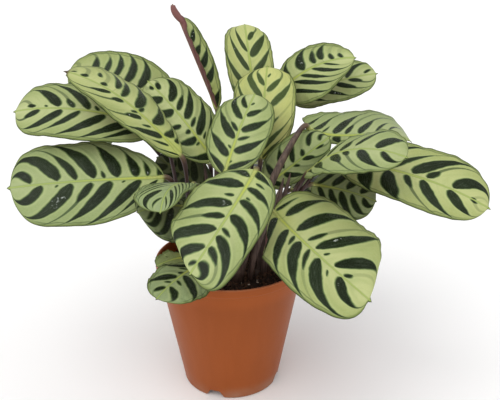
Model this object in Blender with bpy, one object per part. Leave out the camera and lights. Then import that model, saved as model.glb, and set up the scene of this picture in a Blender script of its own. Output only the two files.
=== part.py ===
"""Potted calathea: a striped prayer plant in a plain plastic nursery pot.

Lengths are metres, angles degrees, +Z up. The origin is under the middle of the pot, on the ground.
The front of the plant faces -Y.
"""

import math

import bpy
import numpy as np

# Driving dimensions of the pot
POT_HEIGHT = 0.108
RIM_RADIUS = 0.060
COLLAR_HEIGHT = 0.007
COLLAR_STEP = 0.0018
COLLAR_SLANT = 0.0008
LIP = 0.0009
WALL = 0.0014
FOOT_RADIUS = 0.040
FOOT_ROUND = 0.003
FOOT_WIDTH = 0.0045
FLOOR_LIFT = 0.005
STEP_SLANT = 0.001
PAD_RADIUS = 0.015
POT_SIDES = 48
FOOT_NOTCHES = 4
FOOT_NOTCH_TURN = -18
FOOT_NOTCH_WIDTH = (0.016, 0.0075)
FOOT_NOTCH_HEIGHT = 0.0065
CUT_MARGIN = 0.002
DRAIN_HOLES = 8
DRAIN_RADIUS = 0.003
DRAIN_CIRCLE = 0.0245

# Soil, and the clearance that touching pieces keep
CLEARANCE = 0.0003
SOIL_LEVEL = 0.098
SOIL_SIDES = 36
SOIL_RINGS = 7
SOIL_SWELL = 0.0007
SOIL_CROWN = 0.0015

# Crowns, the stubs that the leaf stalks grow from
CROWN_RADIUS = 0.0062
CROWN_TOP = 0.1015
CROWN_BOTTOM = 0.087
CROWN_SHOULDER = 0.0015
CROWN_SIDES = 10

# Leaf stalks
STALK_SIDES = 6
STALK_STEPS = 7
STALK_FOOT = 0.0025
STALK_SLIM = 0.0014
STALK_KNEE = 0.0019
STALK_SPREAD = 0.0030
STALK_START = 0.0995
STALK_STAGGER = 0.0004
STALK_PULL = 0.45
STALK_LEAN = 0.25
KNEE_REACH = 0.012

# Leaf blades
BLADE_ROWS = 9
BLADE_COLUMNS = 6
BLADE_EDGE = 0.0007
BLADE_RIB = 0.0016
BLADE_NECK = 0.0019
BLADE_POINT = 0.0006
DRIP_SHARE = 0.022
MIDRIB_REACH = 0.36
WAVE_HEIGHT = 0.0012
WAVES = 2.2
WAVE_SHIFT = 0.35

# Each blade: where its midrib starts and ends, which way its upper side faces (turn from the front
# towards +X, then height), its full width, and how the midrib leaves and arrives (rise and fall).
# Some blades state more:
#   fold and edge   slopes of the two halves at the midrib and at the margin, left then right
#   heel and toe    how blunt the blade is at its base and at its tip
#   lean            how much wider the right half is than the left, as a share
#   skew            how far the two halves slide past each other near the tip, as a share of the width
#   shear           the same near the base
#   sickle          sideways turn of the midrib, in degrees
#   twist, since    turn about the midrib by the tip, and the share from which it turns
#   bow             sideways push of the stalk's lower part, in metres across and back
LEAVES = {
    "leaf_left_low": dict(
        base=(-0.047, -0.025, 0.183), tip=(-0.153, -0.050, 0.183), face=(-8, 42), width=0.066,
        rise=4, fall=8, fold=(4, 4), edge=(-14, -14), heel=1.8, toe=5.0, skew=0.03),
    "leaf_left_mid": dict(
        base=(-0.053, -0.008, 0.216), tip=(-0.158, -0.006, 0.227), face=(-14, 50), width=0.050,
        rise=22, fall=26, fold=(6, 6), edge=(-12, -12), heel=2.4, toe=5.0),
    "leaf_left_drooping": dict(
        base=(-0.035, -0.017, 0.197), tip=(-0.114, -0.020, 0.259), face=(24, 66), width=0.046,
        rise=12, fall=26, fold=(2, 8), edge=(-16, -22), toe=2.2, lean=0.15, sickle=5),
    "leaf_left_back": dict(
        base=(-0.043, 0.045, 0.221), tip=(-0.134, 0.055, 0.244), face=(-4, 22), width=0.060,
        rise=22, fall=16, fold=(4, 4), edge=(-14, -14), toe=2.2),
    "leaf_left_inner": dict(
        base=(-0.012, 0.008, 0.186), tip=(-0.065, 0.035, 0.243), face=(20, 45), width=0.050,
        rise=8, fall=14, toe=3.0, lean=0.06),
    "leaf_rolled": dict(
        base=(-0.011, 0.038, 0.220), tip=(-0.042, 0.028, 0.301), face=(6, 8), width=0.020,
        rise=6, fall=8, fold=(104, 8), edge=(125, -14), toe=1.7, twist=-170, since=0.78, lean=0.3),
    "leaf_top": dict(
        base=(0.021, 0.050, 0.215), tip=(0.011, 0.100, 0.280), face=(0, 20), width=0.040,
        rise=4, fall=45, fold=(4, 4), edge=(-20, -20), toe=3, skew=-0.35),
    "leaf_young_yellow": dict(
        base=(0.024, 0.013, 0.185), tip=(0.030, 0.057, 0.251), face=(-5, 40), width=0.051,
        rise=20, fall=25, edge=(-18, -18), toe=4.0),
    "leaf_centre": dict(
        base=(-0.003, -0.025, 0.185), tip=(0.020, 0.024, 0.235), face=(-8, 45), width=0.047,
        rise=12, fall=16, toe=3.0),
    "leaf_front_left": dict(
        base=(0.020, -0.046, 0.195), tip=(-0.022, -0.114, 0.148), face=(-12, 46), width=0.058,
        rise=14, fall=18, fold=(6, 6), edge=(-12, -12), heel=2.4, toe=6, lean=0.12, skew=-0.28,
        sickle=-8),
    "leaf_front_right": dict(
        base=(0.032, -0.044, 0.164), tip=(0.091, -0.120, 0.133), face=(20, 46), width=0.076,
        rise=12, fall=14, fold=(6, 6), edge=(-12, -12), heel=3.2, toe=4.3, skew=0.18, lean=-0.18,
        sickle=12, shear=0.64),
    "leaf_right_low": dict(
        base=(0.078, -0.016, 0.194), tip=(0.184, -0.052, 0.168), face=(8, 48), width=0.053,
        rise=20, fall=26, edge=(-12, -12), toe=4.6, sickle=2, skew=-0.12, lean=-0.1, heel=1.8),
    "leaf_right_mid": dict(
        base=(0.059, -0.016, 0.184), tip=(0.117, -0.078, 0.213), face=(4, 60), width=0.050,
        rise=28, fall=36, fold=(6, 6), toe=4.0, heel=1.6),
    "leaf_right_high": dict(
        base=(0.058, -0.008, 0.217), tip=(0.149, 0.042, 0.191), face=(4, 60), width=0.040,
        rise=-24, fall=24, fold=(-2, -35), toe=6, edge=(-16, -75), lean=-0.75, heel=1.8,
        bow=(0.000, -0.010), skew=-0.9),
    "leaf_right_slim": dict(
        base=(0.028, 0.009, 0.164), tip=(0.075, -0.011, 0.206), face=(0, 22), width=0.033,
        rise=15, fall=20, fold=(6, -4), edge=(-10, -26), toe=3.0, heel=2.2, lean=-0.2),
    "leaf_back_right": dict(
        base=(0.038, 0.062, 0.226), tip=(0.100, 0.046, 0.259), face=(0, 32), width=0.046,
        rise=10, fall=30, toe=1.3, lean=0.15, skew=0.0, sickle=-20),
    "leaf_back_right_low": dict(
        base=(0.051, 0.082, 0.219), tip=(0.121, 0.062, 0.244), face=(5, 45), width=0.038,
        rise=12, fall=18, toe=4.0),
    "leaf_shade_left": dict(
        base=(-0.031, -0.030, 0.162), tip=(-0.062, -0.060, 0.169), face=(-20, 35), width=0.046,
        rise=15, fall=22, lean=-0.3),
    "leaf_curling": dict(
        base=(-0.026, -0.023, 0.177), tip=(-0.042, -0.086, 0.178), face=(-20, 62), width=0.039,
        rise=20, fall=60, fold=(6, 6), edge=(-20, -20), lean=0.32, heel=1.8),
    "leaf_over_rim": dict(
        base=(-0.022, -0.050, 0.124), tip=(-0.047, -0.092, 0.119), face=(-15, 48), width=0.042,
        rise=12, fall=18, toe=2.6, lean=-0.15),
    "leaf_old_small": dict(
        base=(-0.032, -0.036, 0.124), tip=(-0.052, -0.052, 0.124), face=(-20, 50), width=0.020,
        rise=12, fall=18, toe=2.4),
    "leaf_shade_right": dict(
        base=(0.063, -0.012, 0.173), tip=(0.109, -0.028, 0.165), face=(10, 45), width=0.046,
        rise=12, fall=18),
    "leaf_flat_right": dict(
        base=(0.048, 0.012, 0.160), tip=(0.103, 0.020, 0.162), face=(0, 80), width=0.044,
        rise=12, fall=18),
    "leaf_small_left": dict(
        base=(-0.083, 0.055, 0.196), tip=(-0.119, 0.062, 0.185), face=(-10, 75), width=0.030,
        rise=12, fall=18),
    "leaf_inner_low": dict(
        base=(-0.016, 0.018, 0.152), tip=(-0.060, 0.030, 0.182), face=(0, 45), width=0.040,
        rise=12, fall=18),
    "leaf_rear_high_left": dict(
        base=(-0.018, 0.052, 0.168), tip=(-0.050, 0.140, 0.152), face=(160, 50), width=0.056,
        rise=18, fall=26, toe=3.4),
    "leaf_rear_high_right": dict(
        base=(0.026, 0.054, 0.164), tip=(0.048, 0.142, 0.146), face=(192, 52), width=0.058,
        rise=18, fall=26, toe=3.4),
    "leaf_rear_side_right": dict(
        base=(0.054, 0.030, 0.150), tip=(0.122, 0.092, 0.128), face=(225, 48), width=0.056,
        rise=18, fall=26, toe=3.4),
    "leaf_rear_side_left": dict(
        base=(-0.046, 0.026, 0.158), tip=(-0.114, 0.090, 0.138), face=(138, 48), width=0.058,
        rise=18, fall=26, toe=3.4),
    "leaf_rear_mid": dict(
        base=(0.002, 0.042, 0.130), tip=(0.000, 0.130, 0.096), face=(180, 46), width=0.056,
        rise=14, fall=22, toe=3.4),
    "leaf_rear_low_left": dict(
        base=(-0.026, 0.038, 0.124), tip=(-0.062, 0.102, 0.104), face=(150, 46), width=0.046,
        rise=14, fall=22, toe=3.4),
    "leaf_rear_low_right": dict(
        base=(0.034, 0.038, 0.126), tip=(0.086, 0.096, 0.106), face=(215, 46), width=0.050,
        rise=14, fall=22, toe=3.4),
}

# Each shoot: where its crown stands in the soil, and the blades that its stalks carry
SHOOTS = {
    "shoot_left": (
        (-0.022, -0.014),
        ("leaf_left_low", "leaf_curling", "leaf_shade_left", "leaf_left_drooping",
         "leaf_old_small")),
    "shoot_left_high": ((-0.028, 0.008), ("leaf_left_mid", "leaf_rear_side_left")),
    "shoot_back_left": (
        (-0.016, 0.028),
        ("leaf_left_back", "leaf_small_left", "leaf_rear_high_left", "leaf_rear_low_left")),
    "shoot_centre": (
        (-0.003, 0.006), ("leaf_left_inner", "leaf_rolled", "leaf_centre", "leaf_inner_low")),
    "shoot_front": (
        (0.002, -0.026),
        ("leaf_front_left", "leaf_front_right", "leaf_over_rim", "leaf_right_high")),
    "shoot_right": (
        (0.024, -0.012),
        ("leaf_right_slim", "leaf_right_mid", "leaf_right_low", "leaf_shade_right")),
    "shoot_back": (
        (0.006, 0.030),
        ("leaf_top", "leaf_young_yellow", "leaf_rear_high_right", "leaf_rear_mid")),
    "shoot_back_right": (
        (0.026, 0.014),
        ("leaf_back_right", "leaf_back_right_low", "leaf_flat_right", "leaf_rear_side_right",
         "leaf_rear_low_right")),
}

POT_COLOUR = (0.36, 0.115, 0.045)
SOIL_COLOUR = (0.020, 0.014, 0.010)
LEAF_COLOUR = (0.30, 0.42, 0.14)
STALK_COLOUR = (0.10, 0.040, 0.038)


def clear_scene():
    """Removes whatever the new file holds."""
    for thing in list(bpy.data.objects):
        bpy.data.objects.remove(thing, do_unlink=True)


def make_material(name, colour, roughness):
    """A plain finish with the colour and roughness of one kind of piece."""
    material = bpy.data.materials.new(name)
    material.use_nodes = True
    shader = material.node_tree.nodes["Principled BSDF"]
    shader.inputs["Base Color"].default_value = (*colour, 1.0)
    shader.inputs["Roughness"].default_value = roughness
    shader.inputs["Metallic"].default_value = 0.0
    return material


def make_object(name, points, faces, material=None):
    """A mesh object from a list of points and faces."""
    mesh = bpy.data.meshes.new(name)
    mesh.from_pydata([tuple(map(float, point)) for point in points], [], faces)
    mesh.update()
    thing = bpy.data.objects.new(name, mesh)
    bpy.context.scene.collection.objects.link(thing)
    if material:
        mesh.materials.append(material)
    return thing


def apply_boolean(thing, cutter, operation, solver="EXACT"):
    """Cuts or joins another object, or a collection of them, for good."""
    change = thing.modifiers.new("change", "BOOLEAN")
    change.operation = operation
    change.solver = solver
    if isinstance(cutter, bpy.types.Collection):
        change.operand_type = "COLLECTION"
        change.collection = cutter
    else:
        change.object = cutter
    graph = bpy.context.evaluated_depsgraph_get()
    result = bpy.data.meshes.new_from_object(thing.evaluated_get(graph))
    thing.modifiers.remove(change)
    old = thing.data
    thing.data = result
    bpy.data.meshes.remove(old)


def gather(things, name):
    """Moves cutters or repeats into a collection of their own."""
    group = bpy.data.collections.new(name)
    bpy.context.scene.collection.children.link(group)
    for thing in things:
        for home in list(thing.users_collection):
            home.objects.unlink(thing)
        group.objects.link(thing)
    return group


def scatter(group):
    """Deletes a collection and the objects in it."""
    for thing in list(group.objects):
        bpy.data.objects.remove(thing, do_unlink=True)
    bpy.data.collections.remove(group)


def turned(name, profile, sides, material=None):
    """A solid turned about the Z axis; the profile runs from the axis, round the outside, back to it."""
    points = [(0.0, 0.0, profile[0][1])]
    faces = []
    rings = []
    for radius, height in profile[1:-1]:
        rings.append(len(points))
        for step in range(sides):
            turn = math.tau * step / sides
            points.append((radius * math.cos(turn), radius * math.sin(turn), height))
    last = len(points)
    points.append((0.0, 0.0, profile[-1][1]))
    for step in range(sides):
        after = (step + 1) % sides
        faces.append((0, rings[0] + after, rings[0] + step))
        for low, high in zip(rings, rings[1:]):
            faces.append((low + step, low + after, high + after, high + step))
        faces.append((rings[-1] + step, rings[-1] + after, last))
    return make_object(name, points, faces, material)


def wall_radius(height):
    """Outer radius of the tapered wall at a height."""
    top = RIM_RADIUS - COLLAR_STEP
    share = (height - FOOT_ROUND) / (POT_HEIGHT - COLLAR_HEIGHT - FOOT_ROUND)
    return FOOT_RADIUS + (top - FOOT_RADIUS) * share


def pot_profile():
    """From the middle of the underside, out over the foot and up the wall, and back down inside."""
    collar_foot = POT_HEIGHT - COLLAR_HEIGHT
    foot_inner = FOOT_RADIUS - FOOT_WIDTH
    corner = FLOOR_LIFT + 2 * WALL
    return [
        (0.0, 0.0),
        (PAD_RADIUS - STEP_SLANT, 0.0),
        (PAD_RADIUS, FLOOR_LIFT),
        (foot_inner - STEP_SLANT, FLOOR_LIFT),
        (foot_inner, 0.0),
        (FOOT_RADIUS - FOOT_ROUND * 0.53, 0.0),
        (FOOT_RADIUS - FOOT_ROUND * 0.13, FOOT_ROUND * 0.35),
        (wall_radius(FOOT_ROUND), FOOT_ROUND),
        (wall_radius(collar_foot), collar_foot),
        (RIM_RADIUS - COLLAR_SLANT, collar_foot + COLLAR_SLANT),
        (RIM_RADIUS, POT_HEIGHT - LIP),
        (RIM_RADIUS - LIP * 0.6, POT_HEIGHT),
        (RIM_RADIUS - LIP * 1.8, POT_HEIGHT),
        (RIM_RADIUS - LIP * 2.4, POT_HEIGHT - LIP),
        (wall_radius(collar_foot) - WALL, collar_foot - LIP),
        (wall_radius(corner) - WALL, corner),
        (foot_inner - STEP_SLANT, FLOOR_LIFT + WALL),
        (PAD_RADIUS - WALL, FLOOR_LIFT + WALL),
        (PAD_RADIUS - STEP_SLANT - WALL, WALL),
        (0.0, WALL),
    ]


def make_pot(material):
    """The pot: a turned shell with notches in its foot and drain holes in its raised floor ring."""
    pot = turned("pot", pot_profile(), POT_SIDES, material)
    cutters = []
    for step in range(FOOT_NOTCHES):
        turn = math.radians(FOOT_NOTCH_TURN - 90 + 360 * step / FOOT_NOTCHES)
        cutters.append(notch_cutter(turn))
    for step in range(DRAIN_HOLES):
        turn = math.tau * (step + 0.5) / DRAIN_HOLES
        centre = (DRAIN_CIRCLE * math.cos(turn), DRAIN_CIRCLE * math.sin(turn), FLOOR_LIFT)
        bpy.ops.mesh.primitive_cylinder_add(
            vertices=12, radius=DRAIN_RADIUS, depth=4 * WALL, location=centre)
        cutters.append(bpy.context.object)
    group = gather(cutters, "pot_cutters")
    apply_boolean(pot, group, "DIFFERENCE")
    scatter(group)
    pot.data.shade_smooth()
    pot.data.set_sharp_from_angle(angle=math.radians(30))
    return pot


def notch_cutter(turn):
    """A wedge with sloped sides that runs through the foot ring along one direction."""
    wide, slim = FOOT_NOTCH_WIDTH
    near, far = FOOT_RADIUS - 2 * FOOT_WIDTH, FOOT_RADIUS + FOOT_WIDTH
    low, high = -CUT_MARGIN, FOOT_NOTCH_HEIGHT
    flare = (wide - slim) / 2 * CUT_MARGIN / high
    foot, head = wide / 2 + flare, slim / 2
    outline = [(-foot, low), (foot, low), (head, high), (-head, high)]
    out = np.array([math.cos(turn), math.sin(turn), 0.0])
    side = np.array([-math.sin(turn), math.cos(turn), 0.0])
    points = [out * reach + side * across + np.array([0, 0, height])
              for reach in (near, far) for across, height in outline]
    faces = [(3, 2, 1, 0), (4, 5, 6, 7), (0, 1, 5, 4), (1, 2, 6, 5), (2, 3, 7, 6), (3, 0, 4, 7)]
    return make_object("notch_cutter", points, faces)


def soil_height(x, y):
    """Level of the soil: low mounds as a sum of slow waves, a little higher in the middle."""
    mounds = math.sin(190 * x + 0.6) * math.cos(160 * y - 0.4) + 0.6 * math.sin(330 * y + 250 * x)
    crown = SOIL_CROWN * (1 - (math.hypot(x, y) / RIM_RADIUS) ** 2)
    return SOIL_LEVEL + SOIL_SWELL * mounds + crown


def make_soil(material):
    """The root ball: fills the pot 0.3 mm clear of it, with a hole for each crown."""
    side_gap = CLEARANCE * 1.5
    top_radius = wall_radius(SOIL_LEVEL) - WALL - side_gap
    floor = FLOOR_LIFT + WALL + CLEARANCE
    corner = floor + WALL
    rings = [(PAD_RADIUS - STEP_SLANT - WALL - side_gap, WALL + CLEARANCE),
             (PAD_RADIUS - WALL - side_gap, floor),
             (FOOT_RADIUS - FOOT_WIDTH - STEP_SLANT - side_gap, floor),
             (wall_radius(corner) - WALL - CLEARANCE * 2.0, corner + CLEARANCE)]
    for step in range(SOIL_RINGS):
        rings.append((top_radius * (1 - step / SOIL_RINGS), None))
    points = [(0.0, 0.0, WALL + CLEARANCE)]
    for radius, height in rings:
        for step in range(SOIL_SIDES):
            turn = math.tau * step / SOIL_SIDES
            x, y = radius * math.cos(turn), radius * math.sin(turn)
            points.append((x, y, soil_height(x, y) if height is None else height))
    points.append((0.0, 0.0, soil_height(0.0, 0.0)))
    faces = []
    for step in range(SOIL_SIDES):
        after = (step + 1) % SOIL_SIDES
        faces.append((0, 1 + after, 1 + step))
        for ring in range(len(rings) - 1):
            low, high = 1 + ring * SOIL_SIDES, 1 + (ring + 1) * SOIL_SIDES
            faces.append((low + step, low + after, high + after))
            faces.append((low + step, high + after, high + step))
        faces.append((high + step, high + after, len(points) - 1))
    soil = make_object("soil", points, faces, material)
    cutters = []
    depth = 2 * (SOIL_LEVEL - CROWN_BOTTOM)
    for centre, _ in SHOOTS.values():
        bpy.ops.mesh.primitive_cylinder_add(
            vertices=CROWN_SIDES, radius=CROWN_RADIUS + CLEARANCE * 1.2, depth=depth,
            location=(*centre, CROWN_BOTTOM - CLEARANCE + depth / 2))
        cutters.append(bpy.context.object)
    group = gather(cutters, "soil_cutters")
    apply_boolean(soil, group, "DIFFERENCE")
    scatter(group)
    soil.data.shade_smooth()
    return soil


def unit(vector):
    """The vector at length one."""
    vector = np.asarray(vector, float)
    return vector / np.linalg.norm(vector, axis=-1, keepdims=True)


def facing(turn, height):
    """Direction that an upper side faces: turn 0 is the front, 90 is +X; height is above the level."""
    turn, height = math.radians(turn), math.radians(height)
    return np.array([math.sin(turn) * math.cos(height), -math.cos(turn) * math.cos(height),
                     math.sin(height)])


def midrib(leaf):
    """Four Bezier points of the midrib, and the direction of the blade's right half."""
    base, tip = np.array(leaf["base"]), np.array(leaf["tip"])
    chord = tip - base
    length = np.linalg.norm(chord)
    along = chord / length
    face = facing(*leaf["face"])
    up = unit(face - (face @ along) * along)
    right = np.cross(along, up)
    rise, fall = math.radians(leaf["rise"]), math.radians(leaf["fall"])
    sweep = math.radians(leaf.get("sickle", 0))
    start = along * math.cos(rise) * math.cos(sweep) + up * math.sin(rise)
    start = unit(start + right * math.sin(sweep) * math.cos(rise))
    end = along * math.cos(fall) * math.cos(sweep) - up * math.sin(fall)
    end = unit(end - right * math.sin(sweep) * math.cos(fall))
    reach = length * MIDRIB_REACH
    return [base, base + start * reach, tip - end * reach, tip], right


def bezier(points, share):
    """Places on a cubic Bezier curve at the given shares of it."""
    t = np.asarray(share)[:, None]
    p, q, r, s = points
    return (1 - t) ** 3 * p + 3 * (1 - t) ** 2 * t * q + 3 * (1 - t) * t ** 2 * r + t ** 3 * s


def bezier_slope(points, share):
    """Direction of a cubic Bezier curve at the given shares of it."""
    t = np.asarray(share)[:, None]
    p, q, r, s = points
    return unit((1 - t) ** 2 * (q - p) + 2 * (1 - t) * t * (r - q) + t ** 2 * (s - r))


def outline(leaf, share):
    """Half width along the blade, as a share of the widest: an oblong with round ends and a drip point."""
    body = np.clip(share / (1 - DRIP_SHARE), 0, 1)
    k = np.abs(body - 0.5) / 0.5
    bluntness = np.where(body < 0.5, leaf.get("heel", 2.2), leaf.get("toe", 3.2))
    return np.sqrt(np.clip(1 - k ** bluntness, 0, 1))


def blade_surface(leaf, share, across):
    """Middle surface of a blade on a grid.

    share runs along the midrib from 0 to 1 and across from -1 to 1. Each half leaves the midrib at
    its fold and bends evenly to the slope of its margin, which waves a little; the halves slide past
    each other near the tip by the skew and near the base by the shear.
    """
    curve, right = midrib(leaf)
    place = bezier(curve, share)
    tangent = bezier_slope(curve, share)
    right = unit(right - (tangent @ right)[:, None] * tangent)
    up = np.cross(right, tangent)
    since = leaf.get("since", 0)
    turn = np.radians(leaf.get("twist", 0) * np.clip((share - since) / (1 - since), 0, 1))[:, None]
    right = right * np.cos(turn) + up * np.sin(turn)
    normal = np.cross(right, tangent)
    side = np.sign(across)[None, :]
    reach = np.abs(across)[None, :]
    half = leaf["width"] / 2 * outline(leaf, share)
    smallest = np.where(share < 0.5, BLADE_NECK, BLADE_POINT)
    width = np.maximum(half, smallest)[:, None] * (1 + leaf.get("lean", 0.0) * side)
    folds, edges = leaf.get("fold", (5, 5)), leaf.get("edge", (-14, -14))
    fold = np.radians(np.where(side < 0, folds[0], folds[1]))
    edge = np.radians(np.where(side < 0, edges[0], edges[1]))
    bend = np.where(np.abs(edge - fold) < 1e-4, 1e-4, edge - fold)
    slope = fold + bend * reach
    sideways = width * (np.sin(slope) - np.sin(fold)) / bend
    lift = width * (np.cos(fold) - np.cos(slope)) / bend
    ripple = np.sin(math.tau * (WAVES * share[:, None] + WAVE_SHIFT * side))
    swell = np.sqrt(np.sin(math.pi * np.clip(share, 0, 1)))[:, None]
    lift = lift + WAVE_HEIGHT * reach ** 2 * ripple * swell
    late = np.clip(2 * share - 1, 0, 1) ** 2 * outline(leaf, share)
    early = np.clip(1 - 2 * share, 0, 1) ** 2 * outline(leaf, share)
    shift = leaf.get("skew", 0.05) * late + leaf.get("shear", 0.0) * early
    slide = leaf["width"] * side * reach ** 2 * shift[:, None]
    return (place[:, None, :] + right[:, None, :] * (sideways * side)[:, :, None]
            + normal[:, None, :] * lift[:, :, None] + tangent[:, None, :] * slide[:, :, None])


def make_blade(name, leaf, material):
    """A leaf blade: the middle surface thickened both ways, most along the midrib."""
    share = (1 - np.cos(math.pi * np.linspace(0, 1, BLADE_ROWS + 1))) / 2
    across = np.sin(math.pi / 2 * np.linspace(-1, 1, BLADE_COLUMNS + 1))
    middle = blade_surface(leaf, share, across)
    normal = unit(np.cross(np.gradient(middle, axis=1), np.gradient(middle, axis=0)))
    rib = np.clip(1 - np.abs(across) / 0.3, 0, 1)[None, :] * (1 - 0.5 * share[:, None])
    thick = BLADE_EDGE + (BLADE_RIB - BLADE_EDGE) * rib
    half = normal * thick[:, :, None] / 2
    rows, columns = BLADE_ROWS + 1, BLADE_COLUMNS + 1
    points = np.concatenate([(middle + half).reshape(-1, 3), (middle - half).reshape(-1, 3)])
    under = rows * columns
    faces = []
    for row in range(rows - 1):
        for column in range(columns - 1):
            a = row * columns + column
            b, c, d = a + 1, a + columns + 1, a + columns
            faces += [(a, b, c), (a, c, d)]
            faces += [(under + c, under + b, under + a), (under + d, under + c, under + a)]
    border = [column for column in range(columns)]
    border += [row * columns + columns - 1 for row in range(1, rows)]
    border += [(rows - 1) * columns + column for column in range(columns - 2, -1, -1)]
    border += [row * columns for row in range(rows - 2, 0, -1)]
    for a, b in zip(border, border[1:] + border[:1]):
        faces += [(b, a, under + a), (b, under + a, under + b)]
    blade = make_object(name, points, faces, material)
    blade.data.shade_smooth()
    blade.data.set_sharp_from_angle(angle=math.radians(60))
    return blade


def stalk_curve(crown, leaf):
    """Four Bezier points of a stalk: up out of the crown, then round its knee into the midrib.

    A leaf's bow, across and back, pushes the lower part of its stalk aside.
    """
    curve, _ = midrib(leaf)
    tangent = unit(curve[1] - curve[0])
    end = curve[0] - tangent * CLEARANCE
    crown = np.array([*crown, STALK_START])
    outward = unit((end - crown) * np.array([1, 1, 0]))
    start = crown + outward * STALK_SPREAD
    rise = np.linalg.norm(end - start)
    lean = unit(np.array([0, 0, 1]) + outward * STALK_LEAN)
    bow = np.array([*leaf.get("bow", (0.0, 0.0)), 0.0])
    return [start, start + lean * rise * STALK_PULL + bow, end - tangent * KNEE_REACH, end]


def make_stalk(crown, leaf, order):
    """A six-sided tube along the stalk's curve, thick at the foot, slim above, thicker at the knee."""
    curve = stalk_curve(crown, leaf)
    curve[0] = curve[0] - np.array([0, 0, STALK_STAGGER * order])
    share = np.linspace(0, 1, STALK_STEPS + 1) ** 0.8
    place = bezier(curve, share)
    tangent = bezier_slope(curve, share)
    radius = np.interp(share, [0, 0.35, 0.85, 1], [STALK_FOOT, STALK_SLIM, STALK_SLIM, STALK_KNEE])
    first = unit(np.cross(tangent[0], [math.cos(order), math.sin(order), 0.0]))
    points = []
    for centre, along, size in zip(place, tangent, radius):
        first = unit(first - (first @ along) * along)
        second = np.cross(along, first)
        for step in range(STALK_SIDES):
            turn = math.tau * step / STALK_SIDES
            points.append(centre + size * (first * math.cos(turn) + second * math.sin(turn)))
    faces = [tuple(reversed(range(STALK_SIDES)))]
    for row in range(STALK_STEPS):
        for step in range(STALK_SIDES):
            after = (step + 1) % STALK_SIDES
            low, high = row * STALK_SIDES, (row + 1) * STALK_SIDES
            faces.append((low + step, low + after, high + after, high + step))
    faces.append(tuple(range(STALK_STEPS * STALK_SIDES, (STALK_STEPS + 1) * STALK_SIDES)))
    return make_object("stalk", points, faces)


def make_shoot(name, crown, carried, material):
    """A crown stub with its stalks, joined into one body."""
    profile = [(0.0, CROWN_BOTTOM), (CROWN_RADIUS * 0.8, CROWN_BOTTOM),
               (CROWN_RADIUS, CROWN_BOTTOM + CROWN_SHOULDER), (CROWN_RADIUS, SOIL_LEVEL),
               (CROWN_RADIUS * 0.86, CROWN_TOP), (0.0, CROWN_TOP + CROWN_SHOULDER)]
    shoot = turned(name, profile, CROWN_SIDES, material)
    for point in shoot.data.vertices:
        point.co.x += crown[0]
        point.co.y += crown[1]
    stalks = [make_stalk(crown, LEAVES[leaf], order) for order, leaf in enumerate(carried)]
    group = gather(stalks, name + "_stalks")
    apply_boolean(shoot, group, "UNION", "MANIFOLD")
    scatter(group)
    shoot.data.shade_smooth()
    shoot.data.set_sharp_from_angle(angle=math.radians(70))
    return shoot


def main():
    """Builds the pot, the soil, the shoots and the blades."""
    clear_scene()
    pot_finish = make_material("pot_plastic", POT_COLOUR, 0.45)
    soil_finish = make_material("soil", SOIL_COLOUR, 0.95)
    leaf_finish = make_material("leaf", LEAF_COLOUR, 0.38)
    stalk_finish = make_material("stalk", STALK_COLOUR, 0.5)
    make_pot(pot_finish)
    make_soil(soil_finish)
    for name, (crown, carried) in SHOOTS.items():
        make_shoot(name, crown, carried, stalk_finish)
    for name, leaf in LEAVES.items():
        make_blade(name, leaf, leaf_finish)


if __name__ == "__main__":
    main()
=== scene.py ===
"""Potted calathea: the finished look of the plant, its soil and its pot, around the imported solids.

Lengths are metres, angles degrees, +Z up; the front of the plant faces -Y. Every blade, stalk, the soil
and the pot is a surface worked out on a grid, from the same sizes as the solid that it stands for, but
right_slim and right_high are up to 4 mm fuller or higher, to close the gap between them.
"""

import math

import bpy
import numpy as np
from bpy.props import FloatProperty, FloatVectorProperty, IntProperty, PointerProperty
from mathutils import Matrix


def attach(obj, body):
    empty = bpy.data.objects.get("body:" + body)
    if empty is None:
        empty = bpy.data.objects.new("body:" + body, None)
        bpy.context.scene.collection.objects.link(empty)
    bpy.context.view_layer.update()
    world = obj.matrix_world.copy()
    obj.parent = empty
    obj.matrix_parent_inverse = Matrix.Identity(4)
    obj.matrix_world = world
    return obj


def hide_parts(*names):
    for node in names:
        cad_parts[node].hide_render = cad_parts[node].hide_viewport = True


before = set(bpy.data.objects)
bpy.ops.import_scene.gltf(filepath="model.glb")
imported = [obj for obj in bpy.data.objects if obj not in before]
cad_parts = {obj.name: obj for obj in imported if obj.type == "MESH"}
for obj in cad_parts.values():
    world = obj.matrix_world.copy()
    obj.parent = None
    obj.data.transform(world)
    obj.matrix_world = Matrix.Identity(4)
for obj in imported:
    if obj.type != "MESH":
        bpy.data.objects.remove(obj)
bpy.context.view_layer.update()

bl_info = {
    "name": "Potted calathea",
    "version": (1, 0, 0),
    "blender": (4, 5, 0),
    "location": "3D View > Sidebar > Calathea",
    "description": "Builds a striped prayer plant in a plain nursery pot",
    "category": "Add Mesh",
}

# Pot, soil, crowns and stalks, as in the solids
POT_HEIGHT = 0.108
RIM_RADIUS = 0.060
COLLAR_HEIGHT = 0.007
COLLAR_STEP = 0.0018
COLLAR_SLANT = 0.0008
LIP = 0.0009
WALL = 0.0014
FOOT_RADIUS = 0.040
FOOT_ROUND = 0.003
FOOT_WIDTH = 0.0045
FLOOR_LIFT = 0.005
STEP_SLANT = 0.001
PAD_RADIUS = 0.015
FOOT_NOTCHES = 4
FOOT_NOTCH_TURN = -18
FOOT_NOTCH_WIDTH = (0.016, 0.0075)
FOOT_NOTCH_HEIGHT = 0.0065
DRAIN_HOLES = 8
DRAIN_RADIUS = 0.003
DRAIN_CIRCLE = 0.0245
CLEARANCE = 0.0003
SOIL_LEVEL = 0.098
SOIL_SWELL = 0.0007
SOIL_CROWN = 0.0015
STALK_FOOT = 0.0025
STALK_SLIM = 0.0014
STALK_KNEE = 0.0019
STALK_SPREAD = 0.0030
STALK_START = 0.0995
STALK_STAGGER = 0.0004
STALK_PULL = 0.45
STALK_LEAN = 0.25
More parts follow.
